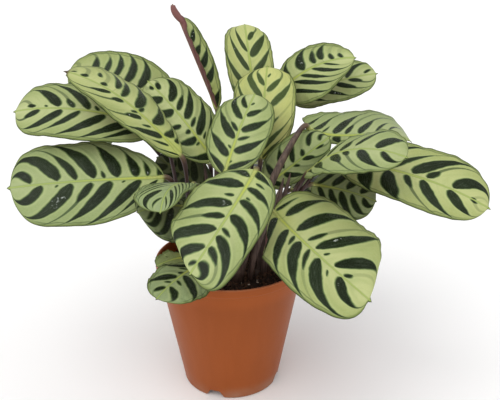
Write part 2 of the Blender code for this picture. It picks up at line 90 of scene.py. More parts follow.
KNEE_REACH = 0.012

# Blades, as in the solids
BLADE_NECK = 0.0019
BLADE_POINT = 0.0006
DRIP_SHARE = 0.022
MIDRIB_REACH = 0.36
WAVE_HEIGHT = 0.0012
WAVES = 2.2
WAVE_SHIFT = 0.35

# What a blade has where its row below doesn't say: how blunt its ends are, the slopes of its halves
# at the midrib and at the margin in degrees, and how far they slide past each other
HEEL = 2.2
TOE = 3.2
FOLD = 5
EDGE = -14
SKEW = 0.05

# Steps round or along the pieces whose settings give none, and the side of the noise lattice
STALK_SIDES = 14
SHEATH_STEPS = 24
CROWN_SIDES = 40
DRAIN_SIDES = 24
SOIL_COLUMNS = 180
SOIL_RINGS = 46
LATTICE = 64

# Side veins: how much of the aspect they slant by, how far they curl towards the tip, and the share
# across the half about which they lean
VEIN_SLANT = 0.35
VEIN_CURL = 0.28
BAND_MIDDLE = 0.4

# The drip point of a fine blade: its half width as a share of the blade's, and the share from the tip
# where it starts
DRIP_WIDTH = 0.11
DRIP_START = 0.05

# Fine relief of a blade: waves of its ruffled margin and their height; the width and depth of the
# groove over the midrib, and of the keel under it
RUFFLES = (7.5, 13)
RUFFLE_HEIGHT = 0.00035
GROOVE = (0.0012, 0.00035)
KEEL = (0.0009, 0.0008)

# The distance between two fine parallel veins
FINE_VEINS = 0.00125

# The swelling and tapering of a dark band on its way across the half
LENS = ((0.0, 0.0), (0.05, 0.45), (0.17, 0.82), (0.38, 1.0), (0.62, 0.92), (0.80, 0.66), (0.92, 0.40),
        (1.0, 0.22))

# How far up its stalk a plain blade's sheath reaches, as a share, and how much it adds to the radius
PLAIN_SHEATH = (0.32, 0.0007)

# The inner radius of a sheath as a share of its outer one, and how far a stalk's foot goes on down
SHEATH_HOLLOW = 0.88
STALK_SINK = 0.006

# The tight bulb at the tip of the rolled leaf: its rounded end, its fine end and its radius
ROLLED_TIP = (((-0.0414, 0.0262, 0.3003), (-0.0325, 0.0287, 0.285), 0.0027),)

# Bands of a blade with none of its own: the distance between two, how far each is shifted at most, and
# for the slight and the full ones the limits of their half width and of the share where they end
PLAIN_STEP = 0.0067
PLAIN_SHIFT = 0.0011
SLIGHT_BAND = ((0.0006, 0.0018), (0.15, 0.45))
FULL_BAND = ((0.0032, 0.0042), (0.70, 0.90))

# Furled young leaves between the stalks: where each stands on the soil, its tip and its radius
FURLED = (
    ((-0.008, 0.012), (-0.012, 0.022, 0.183), 0.0030), ((-0.012, 0.012), (-0.021, 0.022, 0.180), 0.0026),
    ((0.026, -0.016), (0.041, -0.012, 0.178), 0.0034), ((0.030, -0.012), (0.0465, -0.006, 0.180), 0.0030),
    ((0.030, -0.004), (0.054, 0.000, 0.174), 0.0028), ((0.016, -0.024), (0.037, -0.022, 0.172), 0.0028),
    ((-0.002, 0.020), (-0.004, 0.030, 0.186), 0.0028),
)

# Soil: how far from the middle the loose bits lie, and the height, cell and seed of its fine lumps
SCATTER_RADIUS = 0.0545
SOIL_LUMPS = ((0.0011, 0.006, 5), (0.0006, 0.0023, 6), (0.0003, 0.0011, 7))

# Crown of a shoot: heights of its rings and their radii
CROWN_LEVELS = (0.0870, 0.0900, 0.0950, 0.0985, 0.1000, 0.1010, 0.1018, 0.1023)
CROWN_RADII = (0.0050, 0.0060, 0.0062, 0.0061, 0.0056, 0.0046, 0.0030, 0.0010)

# Stage: half the side of the floor, how far it lies under the pot, the light from all round, the
# point that the lamps aim at, and the lamps: place, strength, width in degrees and colour
FLOOR_SPAN = 12.0
FLOOR_GAP = 0.0002
ROOM_LIGHT = 0.85
LAMP_AIM = (0.0, 0.0, 0.18)
LAMPS = {"key": ((-0.30, -0.55, 1.0), 1.2, 50, (1.0, 0.99, 0.97)),
         "fill": ((0.45, -0.8, 0.55), 0.3, 70, (0.98, 0.99, 1.0))}


def metres(lengths):
    """Lengths in metres, from lengths in millimetres."""
    return tuple(length / 1000 for length in lengths)


def blade(base, tip, face, width, rise=12, fall=18, bow=(0, 0), **more):
    """The numbers of one blade, with its lengths turned from millimetres into metres."""
    return dict(more, base=metres(base), tip=metres(tip), face=face, width=width / 1000, rise=rise,
                fall=fall, bow=metres(bow))


# Each blade: where its midrib starts and ends, which way its upper side faces (turn from the front
# towards +X, then height), its full width, and how the midrib leaves and arrives (rise and fall).
# Lengths are millimetres here. Some blades state more:
#   fold and edge   slopes of the two halves at the midrib and at the margin, left then right
#   heel and toe    how blunt the blade is at its base and at its tip
#   lean            how much wider the right half is than the left, as a share
#   skew and shear  how far the halves slide past each other near the tip and near the base, as a
#                   share of the width
#   sickle          sideways turn of the midrib, in degrees
#   twist, since    turn about the midrib by the tip, and the share from which it turns
#   bow             sideways push of the stalk's lower part, across and back
#   tone            how yellow, above 0, or how grey and dark, below 0, the blade is; the dark below 0 is
#                   partly the blade's own duller colour and partly painted shade, and below -1 it is
#                   darkened further towards black as painted shade
#   dry             the share along the blade from which its tip has dried brown
#   sheath          how far up the stalk its sheath reaches, as a share, and how many metres it adds
#                   to the stalk's radius
LEAVES = {
    "left_low": blade((-47, -25, 183), (-153, -50, 183), (-8, 42), 66, 4, 8, fold=4, edge=-14, heel=1.8,
        toe=5.0, skew=0.03, tone=-0.55),
    "left_mid": blade((-53, -8, 216), (-158, -6, 227), (-14, 50), 50, 22, 26, fold=6, edge=-12, heel=2.4,
        toe=5.0, dry=0.985),
    "left_drooping": blade((-35, -17, 197), (-114, -20, 259), (24, 66), 46, 12, 26, fold=(2, 8),
        edge=(-16, -22), toe=2.2, lean=0.15, sickle=5, tone=0.35, dry=0.955, sheath=(0.5, 0.0009)),
    "left_back": blade((-43, 45, 221), (-134, 55, 244), (-4, 22), 60, 22, 16, fold=4, edge=-14, toe=2.2,
        tone=0.1),
    "left_inner": blade((-12, 8, 186), (-65, 35, 243), (20, 45), 50, 8, 14, toe=3.0, lean=0.06,
        sheath=(0.55, 0.001)),
    "rolled": blade((-11, 38, 220), (-42, 28, 301), (6, 8), 20, 6, 8, fold=(104, 8), edge=(125, -14),
        toe=1.7, twist=-170, since=0.78, lean=0.3, tone=0.3, dry=0.985),
    "top": blade((21, 50, 215), (11, 100, 280), (0, 20), 40, 4, 45, fold=4, edge=-20, toe=3, skew=-0.35,
        tone=0.6),
    "young_yellow": blade((24, 13, 185), (30, 57, 251), (-5, 40), 51, 20, 25, edge=-18, toe=4.0, tone=0.9,
        sheath=(0.5, 0.001)),
    "centre": blade((-3, -25, 185), (20, 24, 235), (-8, 45), 47, 12, 16, toe=3.0, tone=-0.15,
        sheath=(0.5, 0.001)),
    "front_left": blade((20, -46, 195), (-22, -114, 148), (-12, 46), 58, 14, 18, fold=6, edge=-12, heel=2.4,
        toe=6, lean=0.12, skew=-0.28, sickle=-8, tone=-0.1, sheath=(0.62, 0.0012)),
    "front_right": blade((32, -44, 164), (91, -120, 133), (20, 46), 76, 12, 14, fold=6, edge=-12, heel=3.2,
        toe=4.3, skew=0.18, lean=-0.18, sickle=12, shear=0.64, tone=0.2, dry=0.992, sheath=(0.55, 0.0012)),
    "right_low": blade((78, -16, 194), (184, -52, 168), (8, 48), 53, 20, 26, edge=-12, toe=4.6, sickle=2,
        skew=-0.12, lean=-0.1, heel=1.8, tone=0.3),
    "right_mid": blade((59, -16, 184), (117, -78, 213), (4, 60), 50, 28, 36, fold=6, toe=4.0, heel=1.6,
        tone=-0.3, sheath=(0.6, 0.001)),
    "right_high": blade((58, -8, 217), (149, 42, 191), (4, 60), 43, -24, 24, fold=(-2, -35), toe=6,
        edge=(-16, -75), lean=-0.62, heel=1.8, bow=(0, -10), skew=-0.9, tone=-0.5, sheath=(0.88, 0.0013)),
    "right_slim": blade((28, 9, 164), (75, -11, 210), (0, 22), 33, 15, 20, fold=(6, -4), edge=(-10, -26),
        toe=3.0, heel=2.2, lean=-0.2, tone=-0.5, sheath=(0.6, 0.0012)),
    "back_right": blade((38, 62, 226), (100, 46, 259), (0, 32), 46, 10, 30, toe=1.3, lean=0.15, skew=0.0,
        sickle=-20, tone=0.1),
    "back_right_low": blade((51, 82, 219), (121, 62, 244), (5, 45), 38, toe=4.0),
    "shade_left": blade((-31, -30, 162), (-62, -60, 169), (-20, 35), 46, 15, 22, lean=-0.3, tone=-1.6),
    "curling": blade((-26, -23, 177), (-42, -86, 178), (-20, 62), 39, 20, 60, fold=6, edge=-20, lean=0.32,
        heel=1.8, tone=-1.1),
    "over_rim": blade((-22, -50, 124), (-47, -92, 119), (-15, 48), 42, toe=2.6, lean=-0.15, tone=-1.02),
    "old_small": blade((-32, -36, 124), (-52, -52, 124), (-20, 50), 20, toe=2.4, tone=0.7),
    "shade_right": blade((63, -12, 173), (109, -28, 165), (10, 45), 46, tone=-1.2),
    "flat_right": blade((48, 12, 160), (103, 20, 162), (0, 80), 44, tone=-1.2),
    "small_left": blade((-83, 55, 196), (-119, 62, 185), (-10, 75), 30, tone=-1.3),
    "inner_low": blade((-16, 18, 152), (-60, 30, 182), (0, 45), 40, tone=-1.9),
    "rear_high_left": blade((-18, 52, 168), (-50, 140, 152), (160, 50), 56, 18, 26, toe=3.4),
    "rear_high_right": blade((26, 54, 164), (48, 142, 146), (192, 52), 58, 18, 26, toe=3.4),
    "rear_side_right": blade((54, 30, 150), (122, 92, 128), (225, 48), 56, 18, 26, toe=3.4),
    "rear_side_left": blade((-46, 26, 158), (-114, 90, 138), (138, 48), 58, 18, 26, toe=3.4),
    "rear_mid": blade((2, 42, 130), (0, 130, 96), (180, 46), 56, 14, 22, toe=3.4),
    "rear_low_left": blade((-26, 38, 124), (-62, 102, 104), (150, 46), 46, 14, 22, toe=3.4),
    "rear_low_right": blade((34, 38, 126), (86, 96, 106), (215, 46), 50, 14, 22, toe=3.4),
}

# Each shoot: where its crown stands in the soil, in millimetres, and the blades that its stalks carry
SHOOTS = {
    "left": ((-22, -14), ("left_low", "curling", "shade_left", "left_drooping", "old_small")),
    "left_high": ((-28, 8), ("left_mid", "rear_side_left")),
    "back_left": ((-16, 28), ("left_back", "small_left", "rear_high_left", "rear_low_left")),
    "centre": ((-3, 6), ("left_inner", "rolled", "centre", "inner_low")),
    "front": ((2, -26), ("front_left", "front_right", "over_rim", "right_high")),
    "right": ((24, -12), ("right_slim", "right_mid", "right_low", "shade_right")),
    "back": ((6, 30), ("top", "young_yellow", "rear_high_right", "rear_mid")),
    "back_right": ((26, 14), ("back_right", "back_right_low", "flat_right", "rear_side_right",
        "rear_low_right")),
}

# Dark bands, left half then right half, of the blades that show well. For each half come first the
# leans of its veins towards the tip, at even steps from the base to the tip, and then its bands: the
# place, the half width, and the start and end across the half. Places, half widths and leans are
# thousandths of the blade's length, starts and ends are thousandths of the half. Most places were
# measured on the photograph, those in round numbers are estimates.
BANDS = {
    "left_low": ((50, 60, 30, 40, 0), ((40, 30, 150, 890), (175, 50, 50, 980), (270, 6, 50, 120),
        (365, 51, 40, 920), (483, 31, 50, 510), (619, 53, 40, 930), (700, 5, 50, 120), (807, 38, 30, 720)),
        (-220, -120, -20, 0, -60), ((-46, 18, 50, 660), (34, 16, 50, 690), (118, 33, 30, 780),
        (258, 46, 40, 850), (357, 13, 30, 220), (436, 49, 40, 970), (565, 30, 30, 710), (687, 52, 40, 980),
        (848, 27, 40, 650))),
    "left_mid": ((100, 60, 50), ((60, 50, 50, 890), (200, 50, 50, 910), (375, 45, 50, 890),
        (535, 29, 40, 730), (661, 40, 40, 850), (826, 33, 30, 420)), (0, 30, 0), ((70, 40, 50, 890),
        (200, 45, 40, 890), (330, 45, 40, 940), (400, 12, 40, 200), (468, 38, 30, 980), (570, 22, 40, 360),
        (671, 43, 50, 810), (750, 6, 40, 120), (850, 22, 50, 220))),
    "left_drooping": ((0, 50, 300), ((-30, 20, 50, 900), (96, 16, 200, 680), (199, 40, 50, 890),
        (284, 11, 150, 430), (390, 30, 130, 550), (440, 12, 50, 250), (580, 30, 50, 360),
        (700, 30, 50, 500)), (-280, -160, -200), ((30, 14, 300, 850), (90, 24, 50, 900), (212, 36, 50, 980),
        (347, 13, 30, 260), (388, 34, 50, 980), (514, 22, 50, 750), (580, 20, 200, 900), (662, 18, 30, 200),
        (720, 12, 320, 580), (800, 20, 30, 250), (884, 15, 160, 310))),
    "left_back": ((0, 0), ((80, 30, 50, 890), (220, 40, 50, 940), (380, 40, 50, 940), (540, 40, 50, 940),
        (700, 40, 50, 890), (850, 30, 50, 500)), (-300, -320, -200), ((100, 20, 50, 800),
        (251, 32, 100, 980), (373, 34, 100, 970), (490, 25, 200, 910), (590, 20, 200, 800),
        (693, 25, 200, 800), (830, 20, 50, 500))),
    "left_inner": ((-200, -150, -100), ((0, 40, 50, 980), (138, 7, 50, 280), (197, 34, 30, 740),
        (285, 17, 50, 280), (380, 20, 200, 600), (550, 40, 50, 890), (720, 40, 50, 790),
        (860, 20, 50, 300)), (0, 0), ((0, 30, 50, 890), (130, 30, 50, 940), (193, 10, 150, 390),
        (274, 49, 50, 950), (368, 18, 50, 370), (468, 43, 50, 890), (581, 28, 40, 540), (696, 44, 40, 860),
        (867, 28, 30, 350))),
    "rolled": ((0, 0), ((100, 30, 50, 890), (280, 30, 50, 890), (460, 30, 50, 890), (640, 30, 50, 890),
        (820, 20, 50, 600)), (-100, 0), ((30, 50, 50, 840), (160, 15, 50, 300), (255, 42, 100, 900),
        (340, 15, 30, 200), (405, 40, 100, 900), (530, 30, 100, 600), (650, 30, 200, 700))),
    "top": ((-100, 200, 420, 450), ((50, 40, 50, 980), (220, 40, 50, 980), (473, 50, 50, 750),
        (705, 45, 30, 550)), (-100, 0, 100, 0), ((150, 40, 50, 980), (355, 38, 50, 900), (554, 60, 30, 840),
        (745, 35, 30, 400))),
    "young_yellow": ((200, 200), ((100, 30, 50, 790), (250, 40, 50, 890), (400, 40, 50, 980),
        (675, 50, 50, 980), (828, 35, 20, 400)), (100, 100), ((0, 30, 50, 690), (130, 35, 50, 690),
        (310, 20, 50, 500), (525, 45, 180, 840), (716, 35, 50, 520), (880, 10, 50, 200))),
    "centre": ((-100, 100, 80), ((-3, 50, 50, 890), (184, 52, 50, 870), (270, 8, 50, 200),
        (409, 56, 40, 850), (508, 24, 30, 360), (659, 44, 30, 970), (809, 29, 30, 560)), (-100, 0, 0),
        ((30, 40, 50, 920), (100, 8, 20, 170), (235, 47, 50, 890), (366, 18, 50, 420), (495, 50, 50, 770),
        (687, 36, 40, 520), (825, 10, 50, 200))),
    "front_left": ((-180, -100, -70, -40, -200), ((-13, 40, 50, 840), (86, 10, 250, 610),
        (164, 29, 50, 880), (257, 5, 170, 330), (307, 35, 50, 960), (462, 43, 50, 960), (586, 13, 50, 380),
        (663, 42, 40, 970), (757, 23, 40, 510), (849, 27, 30, 800)), (-300, -120, -50, 100, 0),
        ((0, 25, 50, 870), (138, 47, 50, 960), (271, 11, 120, 340), (365, 46, 50, 930), (498, 28, 40, 490),
        (640, 55, 40, 970), (815, 38, 40, 820), (918, 11, 20, 250))),
    "front_right": ((-200, -200, -60, 120, 100), ((-50, 12, 100, 800), (41, 34, 130, 950),
        (217, 43, 50, 970), (364, 19, 60, 400), (473, 50, 50, 970), (565, 9, 60, 160), (711, 52, 40, 700),
        (822, 14, 20, 140)), (-160, -40, 0, 30, 0), ((50, 45, 50, 950), (225, 38, 50, 970),
        (308, 12, 50, 340), (381, 45, 50, 970), (477, 16, 30, 530), (580, 51, 40, 970), (669, 4, 120, 270),
        (781, 41, 30, 660))),
    "right_low": ((50, 80, 50, 160), ((60, 40, 50, 940), (200, 50, 50, 940), (385, 19, 50, 780),
        (512, 50, 50, 950), (597, 24, 50, 350), (769, 52, 50, 890), (918, 13, 20, 70)),
        (-300, -220, -50, 0, 20, -50), ((30, 40, 50, 940), (170, 42, 200, 980), (310, 46, 50, 950),
        (442, 23, 30, 460), (553, 40, 40, 930), (738, 45, 30, 730), (874, 15, 20, 150))),
    "right_mid": ((-200, -80, -40), ((100, 40, 50, 890), (230, 30, 50, 890), (393, 38, 50, 500),
        (523, 28, 150, 980), (733, 47, 50, 820)), (100, 80, 0), ((30, 40, 50, 690), (189, 53, 30, 700),
        (402, 51, 50, 590), (516, 28, 20, 310), (654, 47, 30, 790), (826, 29, 30, 720))),
    "right_high": ((250, 220, 250, 200), ((0, 30, 50, 790), (160, 30, 30, 690), (245, 10, 30, 350),
        (352, 42, 30, 750), (447, 22, 30, 380), (565, 34, 30, 520), (700, 13, 50, 500),
        (800, 12, 150, 760)), (-200, -160, -140), ((-14, 15, 30, 800), (62, 17, 30, 900),
        (233, 30, 20, 980), (354, 18, 20, 600), (470, 30, 20, 790), (620, 30, 20, 790),
        (780, 20, 20, 600))),
    "right_slim": ((-300, 0, -100), ((140, 40, 100, 800), (330, 40, 100, 800), (500, 35, 50, 800),
        (635, 20, 20, 300), (736, 28, 200, 950), (861, 20, 150, 880)), (-200, 0, 100, 70),
        ((100, 40, 50, 790), (320, 50, 50, 790), (503, 26, 20, 300), (664, 45, 20, 450),
        (857, 33, 20, 270))),
    "back_right": ((-240, -230, -250), ((143, 36, 100, 900), (329, 46, 60, 970), (472, 28, 100, 700),
        (560, 34, 150, 850), (660, 20, 30, 400), (760, 20, 50, 400)), (300, 450, 500), ((142, 50, 200, 900),
        (360, 45, 80, 750), (505, 37, 30, 550), (670, 40, 20, 600), (820, 20, 20, 300))),
    "back_right_low": ((0, 0), ((100, 40, 50, 800), (250, 40, 50, 850), (400, 40, 50, 850),
        (550, 30, 50, 800), (678, 35, 30, 950), (864, 18, 100, 480)), (200, 200), ((150, 50, 100, 800),
        (400, 50, 100, 800), (620, 50, 60, 600), (790, 45, 20, 350))),
    "shade_left": ((350, 250, 100), ((200, 60, 50, 890), (456, 70, 50, 970), (682, 55, 50, 880),
        (811, 26, 30, 410)), (100, 0), ((150, 50, 50, 890), (380, 60, 50, 940), (600, 60, 50, 940),
        (800, 40, 50, 690))),
    "curling": ((200, 200), ((60, 14, 50, 950), (150, 10, 50, 950), (240, 15, 50, 950), (330, 10, 50, 950),
        (420, 16, 50, 950), (510, 11, 50, 950), (600, 18, 50, 950), (720, 40, 100, 800),
        (860, 16, 50, 500)), (150, 100), ((60, 12, 50, 950), (140, 16, 50, 950), (220, 10, 50, 950),
        (300, 18, 50, 950), (380, 10, 50, 950), (470, 22, 50, 950), (570, 12, 50, 950), (700, 50, 150, 900),
        (850, 12, 50, 500))),
    "over_rim": ((0, 0), ((100, 60, 50, 890), (250, 30, 50, 500), (401, 75, 50, 980), (560, 20, 50, 300),
        (721, 47, 50, 750)), (0, 0), ((83, 70, 50, 980), (220, 20, 50, 400), (357, 31, 20, 220),
        (505, 75, 30, 940), (640, 15, 30, 300), (782, 41, 20, 540))),
    "shade_right": ((0, 0), ((80, 50, 50, 890), (300, 60, 50, 940), (520, 60, 50, 940), (740, 50, 50, 790)),
        (0, 0), ((100, 50, 50, 890), (280, 50, 50, 890), (450, 60, 50, 940), (620, 50, 50, 890),
        (800, 45, 50, 690))),
    "old_small": ((0, 0), ((500, 6, 300, 500),), (0, 0), ((500, 6, 300, 500),)),
}


def unit(vector):
    """The vector, or each row of them, at length one."""
    vector = np.asarray(vector, float)
    return vector / np.linalg.norm(vector, axis=-1, keepdims=True)


def facing(turn, height):
    """Direction of an upper side: turn 0 is the front, 90 is +X; height is above the level."""
    turn, height = math.radians(turn), math.radians(height)
    return np.array([math.sin(turn) * math.cos(height), -math.cos(turn) * math.cos(height),
                     math.sin(height)])


def midrib(leaf):
    """Four Bezier points of the midrib, which leaves the base by the rise and meets the tip by the fall."""
    base, tip = np.array(leaf["base"]), np.array(leaf["tip"])
    chord = tip - base
    length = np.linalg.norm(chord)
    along = chord / length
    face = facing(*leaf["face"])
    up = unit(face - (face @ along) * along)
    right = np.cross(along, up)
    rise, fall = math.radians(leaf["rise"]), math.radians(leaf["fall"])
    sweep = math.radians(leaf.get("sickle", 0))
    start = along * math.cos(rise) * math.cos(sweep) + up * math.sin(rise)
    start = unit(start + right * math.sin(sweep) * math.cos(rise))
    end = along * math.cos(fall) * math.cos(sweep) - up * math.sin(fall)
    end = unit(end - right * math.sin(sweep) * math.cos(fall))
    reach = length * MIDRIB_REACH
    return [base, base + start * reach, tip - end * reach, tip], right


def bezier(points, share):
    """Places on a cubic Bezier curve: the four points weighted by the cubic's terms at each share."""
    t = np.asarray(share)[:, None]
    p, q, r, s = points
    return (1 - t) ** 3 * p + 3 * (1 - t) ** 2 * t * q + 3 * (1 - t) * t ** 2 * r + t ** 3 * s


def bezier_slope(points, share):
    """Direction of a cubic Bezier curve: the quadratic's terms on the steps between its points."""
    t = np.asarray(share)[:, None]
    p, q, r, s = points
    return unit((1 - t) ** 2 * (q - p) + 2 * (1 - t) * t * (r - q) + t ** 2 * (s - r))


def smooth_step(low, high, value):
    """Rises from 0 at low to 1 at high along a cubic, flat at both ends."""
    t = np.clip((np.asarray(value, float) - low) / (high - low), 0, 1)
    return t * t * (3 - 2 * t)


def new_piece(name, points, faces, smooth=True):
    """A mesh object from an array of points and a list of face arrays."""
    mesh = bpy.data.meshes.new(name)
    mesh.from_pydata(np.asarray(points, float).tolist(), [],
                     [row for block in faces for row in np.asarray(block).tolist()])
    mesh.polygons.foreach_set("use_smooth", np.full(len(mesh.polygons), smooth))
    mesh.update()
    thing = bpy.data.objects.new(name, mesh)
    bpy.context.scene.collection.objects.link(thing)
    return thing


def finish_piece(thing, slot, *nodes):
    """Puts a piece on the root body and hides the solids that it stands for; slot is not used."""
    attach(thing, "root")
    if nodes:
        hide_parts(*nodes)
    return thing


def grid_faces(rows, columns, start=0, closed=False):
    """Quads of a grid of points counted row by row; closed joins the last column to the first."""
    row = np.arange(rows - 1)[:, None]
    column = np.arange(columns if closed else columns - 1)[None, :]
    after = (column + 1) % columns
    a, b = start + row * columns + column, start + row * columns + after
    return np.stack([a, b, b + columns, a + columns], -1).reshape(-1, 4)


def tube_faces(rows, sides, start=0):
    """Faces of a closed tube of rings: its skin and a cap on each end."""
    ring = start + np.arange(sides)[None]
    return [grid_faces(rows, sides, start, closed=True), ring[:, ::-1], ring + (rows - 1) * sides]


def turned_faces(rows, columns):
    """Faces of a turned shape: its skin, and fans to the first and last middle points, which come last."""
    ring = np.arange(columns)
    after = (ring + 1) % columns
    last = (rows - 1) * columns
    fans = [np.stack([a, b, np.full(columns, tip)], -1)
            for a, b, tip in ((after, ring, rows * columns), (last + ring, last + after, rows * columns + 1))]
    return [grid_faces(rows, columns, closed=True), *fans]


def put_values(mesh, name, values):
    """Stores one number for each face corner under a name."""
    mesh.attributes.new(name, "FLOAT", "CORNER").data.foreach_set(
        "value", np.ascontiguousarray(values, np.float32).ravel())


def put_by_point(mesh, **fields):
    """Stores a number for each point under each name, on the face corners that use the point."""
    corner = np.empty(len(mesh.loops), np.int32)
    mesh.loops.foreach_get("vertex_index", corner)
    for name, values in fields.items():
        put_values(mesh, name, np.concatenate(values)[corner])


def lattice_noise(x, y, cell, seed):
    """Soft noise from -1 to 1: random heights on a square lattice, eased between by a cubic step."""
    table = np.random.default_rng(seed).uniform(-1, 1, (LATTICE, LATTICE))
    x, y = np.asarray(x) / cell, np.asarray(y) / cell
    i, j = np.floor(x).astype(int), np.floor(y).astype(int)
    s, t = smooth_step(0, 1, x - i), smooth_step(0, 1, y - j)

    def row(n):
        """Height between two neighbours of the lattice along x, n rows on."""
        near, far = (table[(i + m) % LATTICE, (j + n) % LATTICE] for m in (0, 1))
        return near * (1 - s) + far * s

    return row(0) * (1 - t) + row(1) * t


def tube(path, radius, sides, turn=0.0):
    """Points of a round tube: a ring of the given radius, square to the path, at each of its points."""
    tangent = unit(np.gradient(path, axis=0))
    first = np.empty_like(path)
    guide = unit(np.cross(tangent[0], [math.cos(turn), math.sin(turn), 0.0]))
    for step, along in enumerate(tangent):
        guide = unit(guide - (guide @ along) * along)
        first[step] = guide
    second = np.cross(tangent, first)
    angle = math.tau * np.arange(sides) / sides
    ring = (first[:, None, :] * np.cos(angle)[None, :, None]
            + second[:, None, :] * np.sin(angle)[None, :, None])
    return path[:, None, :] + ring * np.asarray(radius)[:, None, None]


class Term:
    """An output of a node. Sums, differences, products and quotients of terms add Math nodes."""

    def __init__(self, recipe, socket):
        self.recipe, self.socket = recipe, socket

    def __add__(self, other):
        return self.recipe.math("ADD", self, other)

    def __sub__(self, other):
        return self.recipe.math("SUBTRACT", self, other)

    def __mul__(self, other):
        return self.recipe.math("MULTIPLY", self, other)

    def __truediv__(self, other):
        return self.recipe.math("DIVIDE", self, other)


class Recipe:
    """Nodes of one material: each call adds a node, sets or joins its inputs and gives its output."""

    def __init__(self, name, **shader):
        self.material = bpy.data.materials.new(name)
        self.material.use_nodes = True
        self.nodes = self.material.node_tree.nodes
        self.shader = self.nodes["Principled BSDF"]
        for socket, value in shader.items():
            self.shader.inputs[socket.replace("_", " ")].default_value = value

    def join(self, socket, value):
        """Links a term to a socket, or sets the socket's own number or colour."""
        if isinstance(value, Term):
            self.material.node_tree.links.new(value.socket, socket)
        else:
            socket.default_value = (*value, 1.0) if socket.type == "RGBA" else value

    def add(self, kind, inputs, output=0, **settings):
        """Adds a node of a kind with its settings, and fills its inputs by place or name."""
        node = self.nodes.new("ShaderNode" + kind)
        for key, value in settings.items():
            setattr(node, key, value)
        for key, value in inputs.items():
            self.join(node.inputs[key], value)
        return Term(self, node.outputs[output])

    def math(self, operation, *values):
        """One step of arithmetic."""
        return self.add("Math", dict(enumerate(values)), operation=operation)

    def values(self, *names):
        """Numbers that the piece carries in its mesh."""
        return [self.add("Attribute", {}, 2, attribute_name=name) for name in names]

    def place(self):
        """The place of a point in the object."""
        return self.add("TexCoord", {}, 3)

    def noise(self, scale, detail=2.0, rough=0.5, vector=None):
        """Soft noise from 0 to 1 over the object."""
        return self.add("TexNoise", {"Vector": vector or self.place(), "Scale": scale, "Detail": detail,
                                     "Roughness": rough})

    def long_noise(self, scale, detail):
        """Noise drawn out by a scale for each axis."""
        return self.noise(1.0, detail, vector=self.add("Mapping", {"Vector": self.place(), "Scale": scale}))

    def streaks(self, run, reach, detail=2.0, rough=0.5):
        """Noise over two numbers of a blade, so that it lies along the veins."""
        return self.noise(1.0, detail, rough, self.add("CombineXYZ", {0: run, 1: reach}))

    def step(self, value, low, high):
        """Rises from 0 to 1 between two values, eased."""
        return self.add("MapRange", {0: value, 1: low, 2: high, 3: 0.0, 4: 1.0},
                        interpolation_type="SMOOTHSTEP")

    def ramp(self, value, low, high, start=0.0, end=1.0):
        """A straight line from start at low to end at high, held level outside."""
        return self.add("MapRange", {0: value, 1: low, 2: high, 3: start, 4: end})

    def mix(self, share, first, second):
        """Mixes two colours."""
        return self.add("Mix", {0: share, 6: first, 7: second}, 2, data_type="RGBA")

    def coats(self, colour, *coats):
        """Lays coats over a colour in turn; each is a share and a colour."""
        for share, coat in coats:
            colour = self.mix(share, colour, coat)
        return colour

    def curve(self, value, points):
        """A curve through given points from 0 to 1."""
        node = self.nodes.new("ShaderNodeFloatCurve")
        line = node.mapping.curves[0]
        line.points[0].location, line.points[-1].location = points[0], points[-1]
        for x, y in points[1:-1]:
            line.points.new(x, y)
        node.mapping.update()
        self.join(node.inputs["Value"], value)
        return Term(self, node.outputs[0])

    def done(self, colour, rough, height, depth):
        """Joins the colour, the roughness and a relief, so many metres deep, to the shader."""
        normal = self.add("Bump", {"Height": height, "Distance": depth, "Strength": 1.0})
        for socket, value in (("Base Color", colour), ("Roughness", rough), ("Normal", normal)):
            self.join(self.shader.inputs[socket], value)
        return self.material


def shaded(colour, factor):
    """A colour with each part multiplied by a factor."""
    return tuple(part * factor for part in colour)


def tint(name, description, default):
    """A setting that holds a colour."""
    return FloatVectorProperty(name=name, description=description, subtype="COLOR", size=3, min=0, max=1,
                               default=default)


class PotSettings(bpy.types.PropertyGroup):
    """Finish of the nursery pot."""
    colour: tint("Plastic", "Colour of the moulded plastic", (0.280, 0.066, 0.011))
    columns: IntProperty(
        name="Columns", description="Steps round the pot", default=288, min=96, max=480)


class SoilSettings(bpy.types.PropertyGroup):
    """Look of the potting mix."""
    colour: tint("Peat", "Colour of the damp peat", (0.018, 0.011, 0.008))
    crumbs: IntProperty(
        name="Crumbs", description="Number of loose crumbs and bark bits", default=1500, min=0, max=4000)
    grains: IntProperty(
        name="Grains", description="Number of pale perlite grains", default=70, min=0, max=400)


class StalkSettings(bpy.types.PropertyGroup):
    """Look of the leaf stalks and their sheaths."""
    dark: tint("Maroon", "Colour of the upper stalk", (0.034, 0.015, 0.014))
    green: tint("Green", "Colour of the stalk's foot", (0.13, 0.16, 0.05))
    steps: IntProperty(name="Steps", description="Steps along a stalk", default=44, min=12, max=120)


class BladeSettings(bpy.types.PropertyGroup):
    """Shape and colours of the leaf blades."""
    rows: IntProperty(name="Rows", description="Steps along a blade", default=92, min=20, max=160)
    columns: IntProperty(name="Columns", description="Steps across half a blade", default=21, min=8, max=48)
    edge: FloatProperty(
        name="Edge", description="Thickness at the margin", default=0.0004, min=0.0001, max=0.002,
        unit="LENGTH", precision=5)
    quilt: FloatProperty(
        name="Quilting", description="Height of the swellings between the side veins", default=0.0004,
        min=0.0, max=0.002, unit="LENGTH", precision=5)
    pale: tint("Pale field", "Colour between the bands, near the midrib", (0.425, 0.465, 0.215))
    outer: tint("Outer field", "Colour between the bands, near the margin", (0.27, 0.32, 0.115))
    dark: tint("Band", "Colour of the dark bands", (0.009, 0.015, 0.005))
    under: tint("Underside", "Colour of the lower side", (0.15, 0.055, 0.055))


